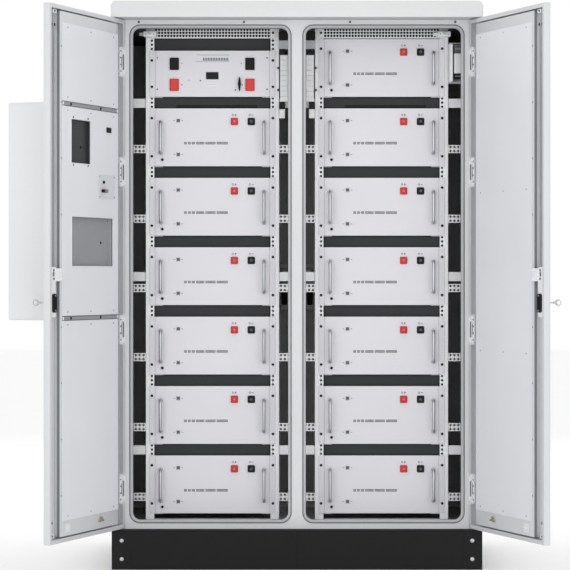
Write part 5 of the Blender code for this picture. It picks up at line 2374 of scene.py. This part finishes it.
@dataclass
class RearDoor:
    """Rear door: tray, insulation board and swing handle."""

    hanging: Hanging
    foam_x: Span = (0.048, 0.575)
    foam_z: Span = (0.175, 2.058)

    def build(self) -> None:
        """Build the door, its insulation and its handle."""
        shell = DoorShell(self.hanging)
        shell.build()
        board = shell.piece("insulation").wear(FOAM)
        height = (self.foam_z[1] - self.foam_z[0]) / 3
        for step in range(3):
            z = (self.foam_z[0] + step * height + 0.001, self.foam_z[0] + (step + 1) * height - 0.001)
            board.box(self.foam_x, (shell.y[0] + 0.0023, shell.y[1] - 0.001), z, 0.003)
        board.done()
        x, z = shell.lock_x, shell.spindle_z
        base = shell.piece("lock_base").wear(BLACK_NYLON)
        edge = RoundRect(about(x, 0.018), (0.963, 1.141), 0.006, 5)
        base.plate(edge, (Disc(x, z, 0.0083, 24),), (shell.y[0] - 0.003, shell.y[0] - 0.0001), 0.001)
        base.wear(HINGE_CASTING)
        for low, high in ((0.97, 1.085), (1.145, 1.16)):
            base.plate(RoundRect(about(x, 0.016), (low, high), 0.003, 3), (), (0.004, 0.006), 0.0005)
        base.wear(BLACK_NYLON)
        base.plate(RoundRect(about(x, 0.012), (0.99, 1.045), 0.006, 4), (), (0.006, 0.012), 0.0015)
        base.done()
        body = "back_handle_" + self.hanging.label
        handle = shell.piece("swing_handle", body).wear(BLACK_NYLON)
        top = z + 0.016
        section = ((0.0, -0.0145), (0.0, -0.0235), (-0.0012, -0.0262), (-0.004, -0.0275))
        handle.folded(RoundRect(about(x, 0.013), (top - 0.16, top), 0.0115, 6), section)
        handle.wear(ZINC)
        handle.turned(((0.0, 0.0076), (0.0085, 0.0076)), front_of(x, -0.0058, z), 24)
        handle.turned(
            ((0.0, 0.0205), (0.0008, 0.0218), (0.0032, 0.0218), (0.004, 0.0205)), back_of(x, -0.006, z), 32
        )
        handle.turned(
            ((0.0, 0.0085), (0.0012, 0.0085), (0.0018, 0.0078), (0.0018, 0.003)),
            front_of(x, -0.0272, 1.014), 24,
        )
        handle.done("rear_handle_" + self.hanging.label, slot="black_nylon")


def build_front_door(label: str, side: float) -> None:
    """Build one front door with everything on it.

    Args:
        label: The door's side in words.
        side: The door's sign along X.
    """
    windows: tuple[RoundRect, ...] = ()
    bars: tuple[float, ...] = ()
    if side < 0:
        windows = (
            RoundRect((0.3094, 0.4849), (1.519, 1.676), 0.002, 2),
            RoundRect((0.099, 0.48), (1.146, 1.324), 0.002, 2),
        )
        bars = (0.957, 1.729)
    shell = DoorShell(Hanging(label, side, True), windows)
    shell.build()
    DoorLiner(shell, windows, bars=bars).build()
    DoorFittings(shell).build()
    SwingLock(shell).build()
    if side < 0:
        LeftDoorEquipment(shell, windows).build()
        DoorCooler(shell, windows).build()


# ---------------------------------------------------------------- fittings in the gaps


@dataclass
class GapFittings:
    """Brackets, bars and small devices between the racks and the walls."""

    outer: float = 0.5805
    wall: float = 0.6755
    inner: float = 0.0695
    y: float = -0.324
    bracket_z: tuple[float, ...] = (0.261, 0.529, 0.7978, 1.0635, 1.3298, 1.5977)
    bar_z: tuple[float, ...] = (0.4406, 1.1074, 1.774)

    def build(self) -> None:
        """Build the brackets, the bars and the devices."""
        self.build_brackets()
        self.build_bars()
        for name, side in (("left", -1.0), ("right", 1.0)):
            self.build_centre_device(name, side)
        self.build_terminal_device()

    def strip(self, solid: Solid, x: Span, z: float, half: float, holes: bool) -> None:
        """Add one flat strip across a gap.

        Args:
            solid: The piece to add to.
            x: Low and high X.
            z: The strip's middle height.
            half: Half of its height.
            holes: Whether it has its six holes.
        """
        middle = (x[0] + x[1]) / 2
        punched = ()
        if holes:
            punched = tuple(
                Disc(middle + column * 0.015, z + row * 0.0078, 0.0045, 14)
                for column in (-1, 0, 1) for row in (-1, 1)
            )
        solid.plate(RoundRect(x, about(z, half), 0.001, 2), punched, (self.y, self.y + 0.002), 0.0004)

    def build_brackets(self) -> None:
        """Add the punched brackets that tie the racks to the walls and to each other."""
        brackets = Solid("rack_tie_brackets", "cabinet").wear(RACK_COAT)
        for z in self.bracket_z:
            for side in (-1.0, 1.0):
                x = ordered(side * (self.outer + 0.001), side * (self.outer + 0.048))
                self.strip(brackets, x, z, 0.0155, True)
                x = ordered(side * 0.0245, side * (self.inner - 0.001))
                self.strip(brackets, x, z, 0.0155, True)
        brackets.done()

    def build_bars(self) -> None:
        """Add the plain bars that brace the racks."""
        bars = Solid("rack_brace_bars", "cabinet").wear(RACK_COAT)
        for z in self.bar_z:
            for side in (-1.0, 1.0):
                x = ordered(side * (self.outer + 0.001), side * (self.wall - 0.001))
                bars.box(x, (self.y + 0.006, self.y + 0.009), about(z, 0.0175), 0.001)
            bars.box(
                (-self.inner + 0.001, self.inner - 0.001), (self.y + 0.006, self.y + 0.009),
                about(z, 0.0175), 0.001,
            )
        bars.done()

    def build_centre_device(self, name: str, side: float) -> None:
        """Add the cable duct and its clips beside the middle post.

        Args:
            name: The side's name.
            side: The side's sign along X.
        """
        device = Solid(f"centre_duct_{name}", "cabinet")
        y = (-0.35, -0.329)

        def across(near: float, far: float) -> Span:
            """Return a span of X on this side."""
            return ordered(side * near, side * far)

        device.wear(BLACK_NYLON).box(across(0.032, 0.07), y, (2.015, 2.048), 0.003)
        device.wear(GREY_ABS).box(across(0.032, 0.07), (y[0] + 0.004, y[1]), (1.98, 2.014), 0.002)
        device.wear(BLACK_NYLON).box(across(0.046, 0.068), y, (1.958, 1.979), 0.002)
        device.wear(WHITE_ABS).box(across(0.0345, 0.0645), (y[0] - 0.004, y[1]), (1.778, 1.957), 0.002)
        for rib in range(1, 9):
            level = 1.778 + rib * 0.0199
            device.box(across(0.035, 0.064), (y[0] - 0.0048, y[0] - 0.003), about(level, 0.0008), 0.0003)
        device.wear(BLACK_NYLON).box(across(0.046, 0.068), y, (1.751, 1.777), 0.002)
        device.wear(WHITE_ABS).box(across(0.046, 0.068), (y[0] + 0.004, y[1]), (1.715, 1.75), 0.002)
        device.wear(DARK_METAL)
        for z in (1.908, 1.823):
            device.screw(front_of(side * 0.072, y[0] + 0.01, z), 0.005, 14)
        device.done()

    def build_terminal_device(self) -> None:
        """Add the small protection device in the right gap, on its C-shaped bracket."""
        device = Solid("gap_terminal_device", "cabinet").wear(RACK_COAT)
        y = (-0.39, -0.33)
        device.box((0.5815, 0.633), (y[1] - 0.002, y[1]), (1.848, 2.0000), 0.001)
        for level in (1.848, 1.998):
            device.box((0.5815, 0.633), y, (level, level + 0.002), 0.0006)
        device.wear(WHITE_ABS).box((0.585, 0.5955), (y[0] + 0.006, y[1] - 0.003), (1.852, 1.996), 0.0015)
        device.box((0.601, 0.63), (y[0] + 0.002, y[1] - 0.003), (1.884, 1.96), 0.002)
        device.wear(GREY_CORE).box((0.601, 0.63), (y[0] + 0.01, y[1] - 0.003), (1.961, 1.994), 0.0015)
        device.wear(BLACK_NYLON).box((0.601, 0.63), (y[0] + 0.01, y[1] - 0.003), (1.864, 1.883), 0.0015)
        device.wear(ZINC)
        for x in (0.608, 0.6155, 0.623):
            for z in (1.978, 1.8735):
                device.screw(front_of(x, y[0] + 0.01, z), 0.0024, 10)
        device.done()


def main() -> None:
    """Build every sub-assembly in order."""
    logging.basicConfig(level=logging.INFO, format="%(message)s")
    Studio().build()
    Plinth().build()
    CabinetShell().build()
    BayFrame("front_frame", -1.0).build()
    BayFrame("rear_frame", 1.0).build()
    RoofCanopy().build()
    Rack("left", -1.0).build()
    Rack("right", 1.0).build()
    for number in range(1, 14):
        label = f"battery_{number:02d}"
        BatteryModule(label + "_case").build(label)
    ControlBox("control_case").build()
    GapFittings().build()
    for label, side in (("left", -1.0), ("right", 1.0)):
        build_front_door(label, side)
        RearDoor(Hanging(label, side, False)).build()


if __name__ == "__main__":
    main()
